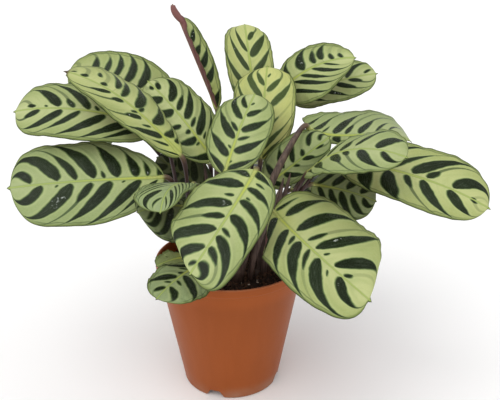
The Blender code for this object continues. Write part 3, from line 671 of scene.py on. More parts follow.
class StageSettings(bpy.types.PropertyGroup):
    """Camera, light and floor."""
    lens: FloatProperty(
        name="Lens", description="Focal length of the camera in millimetres", default=46.8, min=10, max=200)
    pitch: FloatProperty(
        name="Pitch", description="How far the camera looks down, in degrees", default=20.3, min=0, max=90)
    place: FloatVectorProperty(
        name="Camera", description="Place of the camera", subtype="XYZ", size=3, unit="LENGTH",
        default=(0.0158, -0.476, 0.332))
    floor: tint("Floor", "Colour of the floor", (0.94, 0.94, 0.94))


def outline(leaf, share):
    """Half width along the blade, as a share of the widest.

    An oblong, the root of one less the distance from the middle raised to the bluntness of that end,
    with a drip point that narrows to nothing over the last twentieth.
    """
    body = np.clip(share / (1 - DRIP_SHARE), 0, 1)
    k = np.abs(body - 0.5) / 0.5
    bluntness = np.where(body < 0.5, leaf.get("heel", HEEL), leaf.get("toe", TOE))
    oblong = np.sqrt(np.clip(1 - k ** bluntness, 0, 1))
    drip = DRIP_WIDTH * np.clip((1 - share) / DRIP_START, 0, 1) ** 0.8 * (share > 0.5)
    return np.maximum(oblong, drip)


def blade_surface(leaf, share, across):
    """Middle surface of a blade on a grid, its normals and its half widths.

    share runs along the midrib from 0 to 1 and across from -1 to 1. Each half leaves the midrib at its
    fold and bends evenly to the slope of its margin, so a cross-section is two arcs; the margin waves,
    and the halves slide past each other near the tip by the skew and near the base by the shear.
    """
    curve, right = midrib(leaf)
    place = bezier(curve, share)
    tangent = bezier_slope(curve, share)
    right = unit(right - (tangent @ right)[:, None] * tangent)
    up = np.cross(right, tangent)
    since = leaf.get("since", 0)
    turn = np.radians(leaf.get("twist", 0) * np.clip((share - since) / (1 - since), 0, 1))[:, None]
    right = right * np.cos(turn) + up * np.sin(turn)
    normal = np.cross(right, tangent)
    side = np.sign(across)[None, :]
    reach = np.abs(across)[None, :]
    half = leaf["width"] / 2 * outline(leaf, share)
    neck = np.where(share < 0.5, BLADE_NECK, BLADE_POINT * 0.5)
    width = np.maximum(half, neck)[:, None] * (1 + leaf.get("lean", 0.0) * side)
    fold, edge = (np.radians(np.where(side < 0, *np.broadcast_to(leaf.get(key, plain), 2)))
                  for key, plain in (("fold", FOLD), ("edge", EDGE)))
    bend = np.where(np.abs(edge - fold) < 1e-4, 1e-4, edge - fold)
    slope = fold + bend * reach
    sideways = width * (np.sin(slope) - np.sin(fold)) / bend
    lift = width * (np.cos(fold) - np.cos(slope)) / bend
    ripple = np.sin(math.tau * (WAVES * share[:, None] + WAVE_SHIFT * side))
    swell = np.sqrt(np.sin(math.pi * np.clip(share, 0, 1)))[:, None]
    lift = lift + WAVE_HEIGHT * reach ** 2 * ripple * swell
    late, early = (np.clip(end, 0, 1) ** 2 * outline(leaf, share) for end in (2 * share - 1, 1 - 2 * share))
    shift = leaf.get("skew", SKEW) * late + leaf.get("shear", 0.0) * early
    slide = leaf["width"] * side * reach ** 2 * shift[:, None]
    middle = (place[:, None, :] + right[:, None, :] * (sideways * side)[:, :, None]
              + normal[:, None, :] * lift[:, :, None] + tangent[:, None, :] * slide[:, :, None])
    out = unit(np.cross(np.gradient(middle, axis=1), np.gradient(middle, axis=0)))
    return middle, out, np.broadcast_to(width, middle.shape[:2])


def plain_bands(seed, length):
    """Bands for a blade with none of its own: full and slight ones in turn, with seeded shifts."""
    random = np.random.default_rng(seed)
    places = np.arange(0.08, 0.9, PLAIN_STEP / length)
    count = len(places)
    slight = np.arange(count) % 2 == 1
    half, last = (np.where(slight, random.uniform(*few, count), random.uniform(*most, count))
                  for few, most in zip(SLIGHT_BAND, FULL_BAND))
    places = places + random.uniform(-PLAIN_SHIFT, PLAIN_SHIFT, count) / length
    return np.stack([places, half / length, np.full(count, 0.05), last], -1)


def blade_bands(name, seed, length):
    """Leans and bands of the left half, then of the right half, as shares."""
    if name in BANDS:
        return [np.array(part) / 1000 for part in BANDS[name]]
    return [np.zeros(2), plain_bands(seed, length), np.zeros(2), plain_bands(seed + 100, length)]


def vein_place(share, across, aspect):
    """Where the side vein through a point leaves the midrib, as a share of the blade's length.

    A vein runs towards the tip as it goes outwards: evenly by a part of the half's aspect, and more
    and more towards the margin, like the drop of a circle's arc.
    """
    reach = np.abs(across)
    sweep = VEIN_SLANT * aspect * reach + VEIN_CURL * (1 - np.sqrt(1 - reach ** 2))
    return share[:, None] - sweep[None, :]


def lean_place(place, reach, leans):
    """The vein places, moved back by the leans of the veins, which are evened out along the blade."""
    return place - np.interp(place, np.linspace(0, 1, len(leans)), leans) * (reach - BAND_MIDDLE)


def nearest_bands(marks, place, reach, length):
    """For the corners of each face, two sets of numbers for the two bands nearest to the face.

    A set is the distance from the band's middle line, measured along the midrib, the band's half
    width, and how far across the half from the band's start to its end the corner lies.
    """
    spots, wide, first, last = marks.T
    apart = np.abs(place.mean(1)[:, None] - spots) - wide
    order = np.argsort(apart, axis=1)[:, :2]
    sets = []
    for pick in order.T[:, :, None]:
        sets += [(place - spots[pick]) * length, np.broadcast_to(wide[pick] * length, place.shape),
                 (reach - first[pick]) / (last - first)[pick]]
    return sets


def make_blade(name, leaf, settings, seed):
    """A blade: the middle surface with its quilting and midrib, thickened, closed round its margin."""
    rows, half_columns = settings.rows, settings.columns
    share = (1 - np.cos(math.pi * np.linspace(0, 1, rows + 1))) / 2
    reach = (1 - np.cos(math.pi * np.arange(half_columns + 1) / half_columns)) / 2
    across = np.concatenate([-reach[::-1], reach[1:]])
    out_from_rib = np.abs(across)[None, :]
    middle, out, width = blade_surface(leaf, share, across)
    length = np.linalg.norm(np.diff(middle[:, half_columns], axis=0), axis=1).sum()
    bands = blade_bands(name, seed, length)
    place = vein_place(share, across, leaf["width"] / 2 / length)
    halves = [lean_place(place, out_from_rib, leans) for leans in bands[::2]]
    count = np.where(across[None, :] < 0, *(np.interp(half, marks[:, 0], np.arange(len(marks)))
                                            for half, marks in zip(halves, bands[1::2])))
    from_rib = out_from_rib * width
    swell = 0.5 - 0.5 * np.cos(math.tau * count)
    fade = smooth_step(0.0, 0.25, out_from_rib) * smooth_step(1.0, 0.75, out_from_rib)
    relief = -settings.quilt * swell * fade * smooth_step(0.96, 0.80, share)[:, None]
    random = np.random.default_rng(seed)
    ruffle = np.sin(math.tau * (RUFFLES[0] * share[:, None] + random.uniform(0, 1))
                    + 2.0 * np.sign(across)[None, :])
    ruffle = ruffle + 0.6 * np.sin(math.tau * (RUFFLES[1] * share[:, None] + random.uniform(0, 1)))
    ends = smooth_step(0.0, 0.12, share) * smooth_step(1.0, 0.9, share)
    relief = relief + RUFFLE_HEIGHT * ruffle * ends[:, None] * out_from_rib ** 4
    thick = settings.edge * (1 + 0.5 * np.exp(-(from_rib / 0.004) ** 2))
    groove = np.exp(-(from_rib / GROOVE[0]) ** 2) * (1 - 0.6 * share[:, None])
    keel = np.exp(-(from_rib / KEEL[0]) ** 2) * (1 - 0.75 * share[:, None])
    top = middle + out * (relief + thick / 2 - GROOVE[1] * groove)[:, :, None]
    low = middle + out * (relief - thick / 2 - KEEL[1] * keel)[:, :, None]
    r, c = middle.shape[:2]
    under = r * c
    quads = grid_faces(r, c)
    edge = np.concatenate([np.arange(c), np.arange(1, r) * c + c - 1, (r - 1) * c + np.arange(c - 2, -1, -1),
                           np.arange(r - 2, 0, -1) * c])
    after = np.roll(edge, -1)
    rim = np.stack([after, edge, under + edge, under + after], -1)
    thing = new_piece("blade_" + name, np.concatenate([top.reshape(-1, 3), low.reshape(-1, 3)]),
                      [quads, quads[:, ::-1] + under, rim])
    corners = np.concatenate([quads, quads[:, ::-1], np.stack([after, edge, edge, after], -1)])
    left = np.concatenate([(quads % c).min(1) < half_columns] * 2 + [(edge % c) < half_columns])[:, None]

    def spread(values):
        """Each corner's number, from numbers on the grid."""
        return np.broadcast_to(values, (r, c)).reshape(-1)[corners]

    fields = {"reach": spread(out_from_rib), "rib": spread(from_rib), "along": spread(share[:, None]),
              "rim": spread(width * (1 - out_from_rib)),
              "run": np.where(left, *(spread(half) for half in halves))}
    sets = [nearest_bands(marks, fields["run"], fields["reach"], length) for marks in bands[1::2]]
    for key, *pair in zip(("off_a", "mark_a", "way_a", "off_b", "mark_b", "way_b"), *sets):
        fields[key] = np.where(left, *pair)
    fields["run"] = fields["run"] * length
    fields["tone"] = np.full(corners.shape, leaf.get("tone", 0.0))
    dry = leaf.get("dry", 1.1)
    fields["dry"] = smooth_step(dry, dry + 0.025, fields["along"])
    for key, array in fields.items():
        put_values(thing.data, key, array)
    slots = np.repeat([0, 1, 0], [len(quads), len(quads), len(rim)]).astype(np.int32)
    return thing, slots


def band_mask(recipe, reach, run):
    """Dark bands: how dark, and how far inside a band in metres.

    A band is a lens: its half width swells from the midrib, is fullest before the middle, and tapers;
    a thin line runs on from it towards the margin. The darker of the two nearest bands counts.
    """
    step, ramp = recipe.step, recipe.ramp
    wobble = (recipe.noise(160.0, 1.0, 0.5) - 0.5) * 0.0018
    wobble = wobble + (recipe.streaks(run * 900.0, reach * 7.0, 2.0, 0.6) - 0.5) * 0.0007
    found = []
    for letter in "ab":
        off, mark, way = recipe.values("off_" + letter, "mark_" + letter, "way_" + letter)
        away = recipe.math("ABSOLUTE", off)
        body = recipe.curve(way, LENS) * (mark + 0.0007)
        inside = body - 0.0004 - (away + wobble * ramp(body, 0.0006, 0.0030))
        inside = inside - step(way, 0.98, 1.02) * 0.0030
        slim = step(way, 0.3, 0.8) * ramp(reach, 0.995, 0.6, 0.0006, 0.0015)
        tail = step(slim - away, -0.0006, 0.0005) * ramp(mark, 0.0010, 0.0030, 0.0, 0.9)
        found.append((recipe.math("MAXIMUM", step(inside, -0.0005, 0.0004), tail), inside))
    return tuple(recipe.math("MAXIMUM", *pair) for pair in zip(*found))


def fine_veins(recipe, run):
    """Waves from 0 to 1 over the fine parallel veins."""
    return recipe.ramp(recipe.math("SINE", run * (math.tau / FINE_VEINS)), -1.0, 1.0)


def blade_finish(settings):
    """Upper side: pale field, dark bands with a painted sheen and glints, yellow midrib, thin dark rim, fine
    parallel veins; painted shade on blades deep in the plant.
    """
    recipe = Recipe("blade_upper", IOR=1.42, Specular_IOR_Level=0.16)
    mix, coats, ramp, step, noise = recipe.mix, recipe.coats, recipe.ramp, recipe.step, recipe.noise
    reach, rib, rim, run, along, tone, dry = recipe.values(
        "reach", "rib", "rim", "run", "along", "tone", "dry")
    dark, inside = band_mask(recipe, reach, run)
    cloud, grain = noise(38.0, 3.0, 0.6), noise(900.0, 2.0, 0.6)
    field = mix(step(reach + (cloud - 0.5) * 0.5, 0.05, 1.0), settings.pale, settings.outer)
    glow = step(along, 0.40, 0.0) * step(rib, 0.013, 0.0) * ramp(tone, -0.2, 0.5, 0.25, 0.9)
    ribs = fine_veins(recipe, run) * step(along, 0.93, 0.80)
    line = recipe.math("ABSOLUTE", rim - ramp(cloud, 0.3, 0.7, 0.0016, 0.0034))
    line = step(line, 0.0007, 0.0001) * step(along, 0.92, 0.80)
    field = coats(
        field,
        (ramp(tone, 0.0, 1.0, 0.0, 0.75), (0.52, 0.52, 0.16)),
        # Tone below 0 mixes in a dull darker green: partly the blade's own greyer colour, partly painted
        # shade
        (ramp(tone, 0.0, -1.0, 0.0, 0.8), (0.20, 0.27, 0.13)),
        # Painted shade: soft darker streaks along the veins, standing in for the shading of the quilting
        # between them
        (ramp(recipe.streaks(run * 210.0, reach * 2.5), 0.42, 0.75, 0.0, 0.42), (0.24, 0.31, 0.10)),
        (step(inside, -0.0035, -0.0005) * 0.28, (0.46, 0.52, 0.23)),
        (step(inside, -0.0013, 0.0), (0.15, 0.21, 0.07)),
        (glow, (0.47, 0.53, 0.10)),
        (ribs * 0.10, (0.24, 0.34, 0.10)),
        (ramp(grain, 0.35, 0.75, 0.0, 0.16), (0.50, 0.56, 0.32)),
        (step(rim, 0.0026, 0.0004), (0.14, 0.18, 0.05)),
        (line * 0.6, (0.055, 0.085, 0.03)))
    # Painted sheen: a pale streak along the middle of each dark band, painted into the colour in place of a
    # gloss highlight
    painted_sheen = ramp(recipe.streaks(run * 700.0, reach * 6.0, 3.0, 0.6), 0.50, 0.72)
    painted_sheen = step(inside, 0.0012, 0.0024) * painted_sheen
    # Painted glints: small pale spots inside the dark bands, painted into the colour in place of gloss
    # highlights
    painted_glints = ramp(noise(60.0, 2.0), 0.64, 0.69) * ramp(noise(420.0, 2.0), 0.54, 0.64)
    deep = coats(
        settings.dark,
        (ramp(cloud, 0.35, 0.7) * ramp(ribs, 0.2, 1.0), (0.032, 0.050, 0.020)),
        (step(inside, 0.0012, 0.0), (0.050, 0.080, 0.030)),
        (painted_sheen * 0.40, (0.070, 0.092, 0.062)),
        (painted_glints * step(inside, 0.0012, 0.0020), (0.42, 0.47, 0.42)),
        (ramp(tone, 0.3, 0.9, 0.0, 0.65), (0.075, 0.11, 0.030)))
    thread = rib / ramp(along, 0.0, 0.7, 0.0010, 0.0004)
    colour = coats(
        mix(dark, field, deep),
        (step(thread, 3.0, 1.0) * 0.5, (0.15, 0.21, 0.05)),
        (step(thread, 1.3, 0.7), mix(ramp(along, 0.0, 0.6), (0.44, 0.48, 0.08), (0.32, 0.40, 0.11))),
        (step(rim, 0.0007, 0.0002), (0.055, 0.075, 0.022)),
        # Painted shade: blades deep in the plant, with tone below -1, darkened towards black
        (ramp(tone, -1.0, -2.0, 0.0, 0.8), (0.022, 0.030, 0.014)),
        (dry, mix(grain, (0.035, 0.022, 0.012), (0.10, 0.06, 0.03))))
    rough = ramp(dark, 0.0, 1.0, 0.46, 0.27) + ramp(grain, 0.3, 0.7, -0.04, 0.06)
    return recipe.done(colour, rough, ribs * 0.6 + grain * 0.5, 0.00009)


def under_finish(settings):
    """Lower side: dull maroon with a pale rib and the bands showing faintly through."""
    recipe = Recipe("blade_lower", IOR=1.42, Specular_IOR_Level=0.35)
    ramp = recipe.ramp
    reach, rib, run, along = recipe.values("reach", "rib", "run", "along")
    dark, _ = band_mask(recipe, reach, run)
    cloud = recipe.noise(60.0, 3.0, 0.6)
    ribs = fine_veins(recipe, run)
    colour = recipe.coats(
        settings.under,
        (ramp(cloud, 0.35, 0.7), (0.21, 0.085, 0.075)),
        (dark * 0.55, (0.075, 0.022, 0.028)),
        (ribs * 0.22, (0.27, 0.14, 0.12)),
        (recipe.step(rib / ramp(along, 0.0, 0.5, 0.0015, 0.0007), 1.3, 0.6), (0.24, 0.16, 0.09)))
    return recipe.done(colour, ramp(cloud, 0.3, 0.7, 0.48, 0.62), ribs + recipe.noise(700.0, 2.0) * 0.6,
                       0.00012)


class PLANT_OT_blades(bpy.types.Operator):
    """Builds every leaf blade with its bands."""
    bl_idname = "plant.blades"
    bl_label = "Blades"

    def execute(self, context):
        settings = context.scene.calathea_blades
        finishes = [blade_finish(settings), under_finish(settings)]
        for seed, (name, leaf) in enumerate(LEAVES.items()):
            thing, slots = make_blade(name, leaf, settings, seed + 11)
            for finish in finishes:
                thing.data.materials.append(finish)
            thing.data.polygons.foreach_set("material_index", slots)
            thing.data.update()
            finish_piece(thing, "leaf", "leaf_" + name)
        bulb = spindles("rolled_tip", ROLLED_TIP, 16, 20)
        for key in ("reach", "rib", "rim", "off_a", "off_b"):
            put_values(bulb.data, key, np.full(len(bulb.data.loops), 0.5))
        bulb.data.materials.append(finishes[1])
        finish_piece(bulb, "leaf")
        return {"FINISHED"}


def stalk_path(crown, leaf, order, steps):
    """Places along a stalk: the solid's curve, then on under the first part of the blade's midrib.

    Gives the path and how many of its places come before the blade.
    """
    curve, _ = midrib(leaf)
    tangent = unit(curve[1] - curve[0])
    end = curve[0] - tangent * CLEARANCE
    crown = np.array([*crown, STALK_START])
    outward = unit((end - crown) * np.array([1, 1, 0]))
    start = crown + outward * STALK_SPREAD
    rise = np.linalg.norm(end - start)
    lean = unit(np.array([0, 0, 1]) + outward * STALK_LEAN)
    bow = np.array([*leaf["bow"], 0.0])
    points = [start - np.array([0, 0, STALK_STAGGER * order]), start + lean * rise * STALK_PULL + bow,
              end - tangent * KNEE_REACH, end]
    path = bezier(points, np.linspace(0, 1, steps))
    share = np.linspace(0.01, 0.16, 9)
    middle, out, _ = blade_surface(leaf, share, np.array([-0.5, 0.0, 0.5]))
    tail = middle[:, 1] - out[:, 1] * np.interp(share, [0, 0.16], [0.0006, 0.0007])[:, None]
    return np.concatenate([path, tail]), steps


def spindles(name, stems, sides=12, steps=26):
    """Slim spindles, each on a curved line from its foot to its tip.

    The radius is a power of a sine of the share along the line, full past the middle and fine at the tip.
    """
    points, faces, height = [], [], []
    share = np.linspace(0, 1, steps)
    for order, (foot, tip, radius) in enumerate(stems):
        foot, tip = np.array(foot), np.array(tip)
        rise = np.array([0, 0, tip[2] - foot[2]])
        path = bezier([foot, foot + rise * 0.4, tip - (tip - foot) * 0.3, tip], share)
        size = radius * np.clip(np.sin(math.pi * (0.16 + 0.83 * share)), 0.05, 1) ** 0.7
        points.append(tube(path, size, sides, order).reshape(-1, 3))
        faces += tube_faces(steps, sides, order * steps * sides)
        height.append(np.repeat(share, sides))
    thing = new_piece(name, np.concatenate(points), faces)
    put_by_point(thing.data, height=height, sheath=[np.ones(len(thing.data.vertices))])
    return thing


def make_stalks(name, crown, carried, settings):
    """Stalks of one shoot: tubes with a swollen foot and knee, and a sheath round each foot."""
    points, faces, height, kind = [], [], [], []

    def lay(rings, levels, is_sheath):
        """Adds rings of points, the level of each ring, and whether they are sheath; gives their start."""
        start = sum(map(len, points))
        points.append(rings.reshape(-1, 3))
        height.append(np.repeat(levels, sides))
        kind.append(np.full(len(points[-1]), is_sheath))
        return start

    sides, steps = STALK_SIDES, SHEATH_STEPS
    for order, leaf_name in enumerate(carried):
        leaf = LEAVES[leaf_name]
        path, bare = stalk_path(crown, leaf, order, settings.steps)
        travel = np.concatenate([[0], np.cumsum(np.linalg.norm(np.diff(path, axis=0), axis=1))])
        full = travel[bare - 1]
        share = travel / full
        knee = smooth_step(full - 0.016, full - 0.010, travel)
        knee = knee * smooth_step(full + 0.001, full - 0.003, travel)
        radius = np.interp(share, [0, 0.35, 0.85, 1], [STALK_FOOT, STALK_SLIM, STALK_SLIM, STALK_KNEE])
        radius = radius * (1 + 0.12 * knee)
        radius = radius * np.interp(travel, [full, travel[-1]], [1.0, 0.25])
        path[0, 2] -= STALK_SINK
        faces += tube_faces(len(path), sides, lay(tube(path, radius, sides, order), share, 0.0))
        tall, extra = leaf.get("sheath", PLAIN_SHEATH)
        tall += 0.04 * math.sin(3.1 * order + 10 * crown[0])
        level = np.linspace(0, 1, steps)
        sheath = bezier(low_part(path, bare, tall), level)
        wide = np.interp(level * tall, [0, 0.35], [STALK_FOOT, STALK_SLIM])
        wide = wide + extra * (1 - level ** 4) + 0.0002
        skin = tube(sheath, wide, sides, order + 1.0)
        opening = sheath[:, None, :] + (skin - sheath[:, None, :]) * SHEATH_HOLLOW
        start = lay(np.stack([skin, opening]), np.tile(level * tall, 2), 1.0)
        inside = steps * sides
        ring = start + np.arange(sides)
        after = np.roll(ring, -1)
        top = inside - sides
        skin_faces = grid_faces(steps, sides, start, closed=True)
        faces += [skin_faces, skin_faces[:, ::-1] + inside,
                  np.stack([ring, after, after + inside, ring + inside], -1) + top,
                  np.stack([after, ring, ring + inside, after + inside], -1)]
    sides, rows = CROWN_SIDES, len(CROWN_LEVELS)
    faces += tube_faces(rows, sides, lay(crown_points(crown), np.zeros(rows), 1.0))
    thing = new_piece("stalks_" + name, np.concatenate(points), faces)
    put_by_point(thing.data, height=height, sheath=kind)
    return thing


def low_part(path, bare, tall):
    """Four Bezier points of the curve that passes through the lowest part of a stalk at even steps."""
    picks = np.linspace(0, (bare - 1) * tall, 4)
    spots = np.stack([np.interp(picks, np.arange(len(path)), path[:, axis]) for axis in range(3)], -1)
    first, a, b, last = spots
    return (first, (-5 * first + 18 * a - 9 * b + 2 * last) / 6, (2 * first - 9 * a + 18 * b - 5 * last) / 6,
            last)


def crown_points(crown):
    """The crown: a lumpy turned stub, its radius a wave of the angle, that the sheaths stand on."""
    level = np.array(CROWN_LEVELS)[:, None]
    angle = math.tau * np.arange(CROWN_SIDES) / CROWN_SIDES
    radius = np.array(CROWN_RADII)[:, None] * (1 + 0.05 * np.sin(5 * angle + 60 * crown[0])[None, :]
                                               + 0.03 * np.sin(9 * angle + 2)[None, :])
    return np.stack([crown[0] + radius * np.cos(angle), crown[1] + radius * np.sin(angle),
                     np.broadcast_to(level, radius.shape)], -1)


def stalk_finish(settings):
    """Stalks: green at the foot, maroon above, with long streaks; sheaths are papery and darker."""
    recipe = Recipe("stalk_skin", IOR=1.42, Specular_IOR_Level=0.5)
    mix, ramp, step = recipe.mix, recipe.ramp, recipe.step
    height, sheath = recipe.values("height", "sheath")
    streaks = recipe.long_noise((900.0, 900.0, 40.0), 2.0)
    cloud = recipe.noise(120.0, 3.0, 0.6)
    level = height + (cloud - 0.5) * 0.3
    dry = mix(ramp(streaks, 0.35, 0.65), (0.050, 0.030, 0.024), (0.12, 0.080, 0.060))
    colour = recipe.coats(
        settings.green,
        (step(level, 0.15, 0.55), settings.dark),
        (step(height, 0.93, 0.985), (0.10, 0.06, 0.035)),
        (step(height, 0.985, 1.03), (0.42, 0.47, 0.12)),
        (ramp(streaks, 0.35, 0.7, 0.0, 0.3), (0.10, 0.055, 0.045)),
        (sheath, mix(step(level, 0.14, 0.02), dry, (0.045, 0.026, 0.016))))
    return recipe.done(colour, ramp(sheath, 0.0, 1.0, 0.40, 0.62), streaks + cloud * 0.4, 0.00012)


class PLANT_OT_stalks(bpy.types.Operator):
    """Builds the crowns with their stalks and sheaths."""
    bl_idname = "plant.stalks"
    bl_label = "Stalks"

    def execute(self, context):
        settings = context.scene.calathea_stalks
        finish = stalk_finish(settings)
        for name, (crown, carried) in SHOOTS.items():
            thing = make_stalks(name, metres(crown), carried, settings)
            thing.data.materials.append(finish)
            finish_piece(thing, "stalk", "shoot_" + name)
        young = spindles("furled_leaves", [((*foot, SOIL_LEVEL - 0.002), tip, thick)
                                           for foot, tip, thick in FURLED])
        young.data.materials.append(finish)
        finish_piece(young, "stalk")
        return {"FINISHED"}


def wall_radius(height):
    """Outer radius of the tapered wall at a height."""
    top = RIM_RADIUS - COLLAR_STEP
    share = (height - FOOT_ROUND) / (POT_HEIGHT - COLLAR_HEIGHT - FOOT_ROUND)
    return FOOT_RADIUS + (top - FOOT_RADIUS) * share


def pot_line():
    """Half section of the pot from the middle of the underside, over the wall and back inside.

    Each corner is cut twice, so that it turns as an arc; long straight runs get points of their own.
    """
    collar = POT_HEIGHT - COLLAR_HEIGHT
    inner = FOOT_RADIUS - FOOT_WIDTH
    corner = FLOOR_LIFT + 2 * WALL
    line = [(0.0, 0.0), (PAD_RADIUS - STEP_SLANT, 0.0), (PAD_RADIUS, FLOOR_LIFT),
            (inner - STEP_SLANT, FLOOR_LIFT), (inner, 0.0), (FOOT_RADIUS - 0.0004, 0.0),
            (wall_radius(FOOT_ROUND), FOOT_ROUND)]
    line += [(wall_radius(height), height) for height in np.linspace(0.007, collar - 0.0005, 16)]
    line += [(wall_radius(collar), collar), (RIM_RADIUS - 0.0002, collar + COLLAR_SLANT),
             (RIM_RADIUS, POT_HEIGHT - LIP * 1.4), (RIM_RADIUS - LIP * 0.3, POT_HEIGHT),
             (RIM_RADIUS - LIP * 2.2, POT_HEIGHT), (RIM_RADIUS - LIP * 2.6, POT_HEIGHT - LIP * 1.2),
             (wall_radius(collar) - WALL, collar - LIP)]
    line += [(wall_radius(height) - WALL, height) for height in np.linspace(0.094, corner, 8)]
    line += [(inner - STEP_SLANT, FLOOR_LIFT + WALL), (PAD_RADIUS - WALL, FLOOR_LIFT + WALL),
             (PAD_RADIUS - STEP_SLANT - WALL, WALL), (0.0, WALL)]
    line = np.array(line)
    for _ in range(2):
        step = np.diff(line, axis=0)
        cut = np.minimum(0.25, 0.0007 / np.maximum(np.linalg.norm(step, axis=1), 1e-9))[:, None]
        cuts = np.stack([line[:-1] + step * cut, line[1:] - step * cut], 1).reshape(-1, 2)
        line = np.concatenate([line[:1], cuts[1:-1], line[-1:]])
    return line


def make_pot(settings):
    """The pot: its section turned about Z, its foot lifted over each notch, its drain holes cut."""
    line = pot_line()
    columns = settings.columns
    angle = math.tau * np.arange(columns) / columns
    radius = np.broadcast_to(line[1:-1, 0][:, None], (len(line) - 2, columns))
    level = np.broadcast_to(line[1:-1, 1][:, None], radius.shape).copy()
    turn = np.radians(FOOT_NOTCH_TURN - 90 + 360 * np.arange(FOOT_NOTCHES) / FOOT_NOTCHES)
    off = np.abs((angle[None, :] - turn[:, None] + math.pi) % math.tau - math.pi).min(0) * FOOT_RADIUS
    wide, slim = FOOT_NOTCH_WIDTH
    notch = FOOT_NOTCH_HEIGHT * np.clip((wide / 2 - off) / ((wide - slim) / 2), 0, 1)
    ring = radius > FOOT_RADIUS - FOOT_WIDTH - STEP_SLANT * 0.9
    outer = radius > FOOT_RADIUS - 0.0012
    lifted = np.where(outer, notch[None, :], np.minimum(notch, FLOOR_LIFT)[None, :])
    below = np.arange(len(line) - 2)[:, None] < len(line) // 2
    level = np.where(ring & below, np.maximum(level, lifted), level)
    points = np.stack([radius * np.cos(angle), radius * np.sin(angle), level], -1).reshape(-1, 3)
    rows = len(line) - 2
    points = np.concatenate([points, [[0, 0, line[0, 1]], [0, 0, line[-1, 1]]]])
    pot = new_piece("pot_shell", points, turned_faces(rows, columns))
    hole = math.tau * np.arange(DRAIN_SIDES) / DRAIN_SIDES
    cutters, faces = [], []
    for step in range(DRAIN_HOLES):
        at = math.tau * (step + 0.5) / DRAIN_HOLES
        ring = np.stack([DRAIN_CIRCLE * math.cos(at) + DRAIN_RADIUS * np.cos(hole),
                         DRAIN_CIRCLE * math.sin(at) + DRAIN_RADIUS * np.sin(hole)], -1)
        for height in (FLOOR_LIFT - 2 * WALL, FLOOR_LIFT + 3 * WALL):
            cutters.append(np.column_stack([ring, np.full(DRAIN_SIDES, height)]))
        faces += tube_faces(2, DRAIN_SIDES, step * 2 * DRAIN_SIDES)
    cutter = new_piece("drain_cutter", np.concatenate(cutters), faces)
    cut = pot.modifiers.new("drain", "BOOLEAN")
    cut.operation, cut.solver, cut.object = "DIFFERENCE", "EXACT", cutter
    old = pot.data
    pot.data = bpy.data.meshes.new_from_object(pot.evaluated_get(bpy.context.evaluated_depsgraph_get()))
    pot.modifiers.clear()
    bpy.data.objects.remove(cutter)
    bpy.data.meshes.remove(old)
    pot.data.set_sharp_from_angle(angle=math.radians(50))
    return pot


def pot_finish(settings):
    """Moulded plastic: even colour with faint flow marks, a painted highlight on the collar and along the
    rim, dusty at the foot.
    """
    recipe = Recipe("pot_plastic", IOR=1.46, Specular_IOR_Level=0.2)
    ramp, step = recipe.ramp, recipe.step
    height = recipe.add("SeparateXYZ", {0: recipe.place()}, 2)
    cloud, speck = recipe.noise(22.0, 3.0, 0.6), recipe.noise(1500.0, 2.0, 0.7)
    flow = recipe.long_noise((160.0, 160.0, 9.0), 3.0)
    colour = recipe.coats(
        settings.colour,
        (ramp(cloud, 0.3, 0.7, 0.0, 0.35), shaded(settings.colour, 1.16)),
        (ramp(flow, 0.35, 0.7, 0.0, 0.22), shaded(settings.colour, 0.80)),
        (ramp(speck, 0.62, 0.8, 0.0, 0.20), (0.50, 0.20, 0.10)),
        # Painted highlight: the top of the wall and the collar lightened
        (step(height, 0.086, 0.096) * 0.7, shaded(settings.colour, 1.22)),
        # Painted highlight: a bright line along the top of the rim
        (step(height, POT_HEIGHT - 0.0012, POT_HEIGHT), (0.45, 0.155, 0.065)),
        (step(height, 0.014, 0.0) * ramp(cloud, 0.4, 0.7), (0.30, 0.16, 0.10)))
    rough = ramp(cloud, 0.3, 0.7, 0.36, 0.46) + ramp(flow, 0.3, 0.7, 0.0, 0.05)
    return recipe.done(colour, rough, speck + flow * 1.5, 0.00005)


class PLANT_OT_pot(bpy.types.Operator):
    """Builds the nursery pot."""
    bl_idname = "plant.pot"
    bl_label = "Pot"

    def execute(self, context):
        settings = context.scene.calathea_pot
        pot = make_pot(settings)
        pot.data.materials.append(pot_finish(settings))
        finish_piece(pot, "pot_plastic", "pot")
        return {"FINISHED"}


def soil_height(x, y):
    """Level of the soil: the solid's slow waves and low crown, and finer seeded lumps on top."""
    mounds = np.sin(190 * x + 0.6) * np.cos(160 * y - 0.4) + 0.6 * np.sin(330 * y + 250 * x)
    crown = SOIL_CROWN * (1 - (np.hypot(x, y) / RIM_RADIUS) ** 2)
    lumps = sum(height * lattice_noise(x, y, cell, seed) for height, cell, seed in SOIL_LUMPS)
    return SOIL_LEVEL + SOIL_SWELL * mounds + crown + lumps


def make_soil():
    """The root ball: a turned block with a lumpy top, as heights over rings that close at the middle."""
    gap = CLEARANCE * 1.5
    angle = math.tau * np.arange(SOIL_COLUMNS) / SOIL_COLUMNS
    top_radius = wall_radius(SOIL_LEVEL) - WALL - gap
    floor = FLOOR_LIFT + WALL + CLEARANCE
    corner = floor + WALL
    sides = np.array([
        (PAD_RADIUS - STEP_SLANT - WALL - gap, WALL + CLEARANCE), (PAD_RADIUS - WALL - gap, floor),
        (FOOT_RADIUS - FOOT_WIDTH - STEP_SLANT - gap, floor),
        (wall_radius(corner) - WALL - CLEARANCE * 2, corner + CLEARANCE),
        *((wall_radius(height) - WALL - CLEARANCE * 2, height) for height in (0.05, 0.09))])
    rings = top_radius * np.linspace(1, 1 / SOIL_RINGS, SOIL_RINGS)
    radius = np.concatenate([sides[:, 0], rings])[:, None] * np.ones(SOIL_COLUMNS)
    x, y = radius * np.cos(angle), radius * np.sin(angle)
    z = soil_height(x, y)
    z[:len(sides)] = sides[:, 1:]
    points = np.concatenate([np.stack([x, y, z], -1).reshape(-1, 3),
                             [[0, 0, WALL + CLEARANCE], [0, 0, float(soil_height(0.0, 0.0))]]])
    return new_piece("soil_bed", points, turned_faces(len(radius), SOIL_COLUMNS))


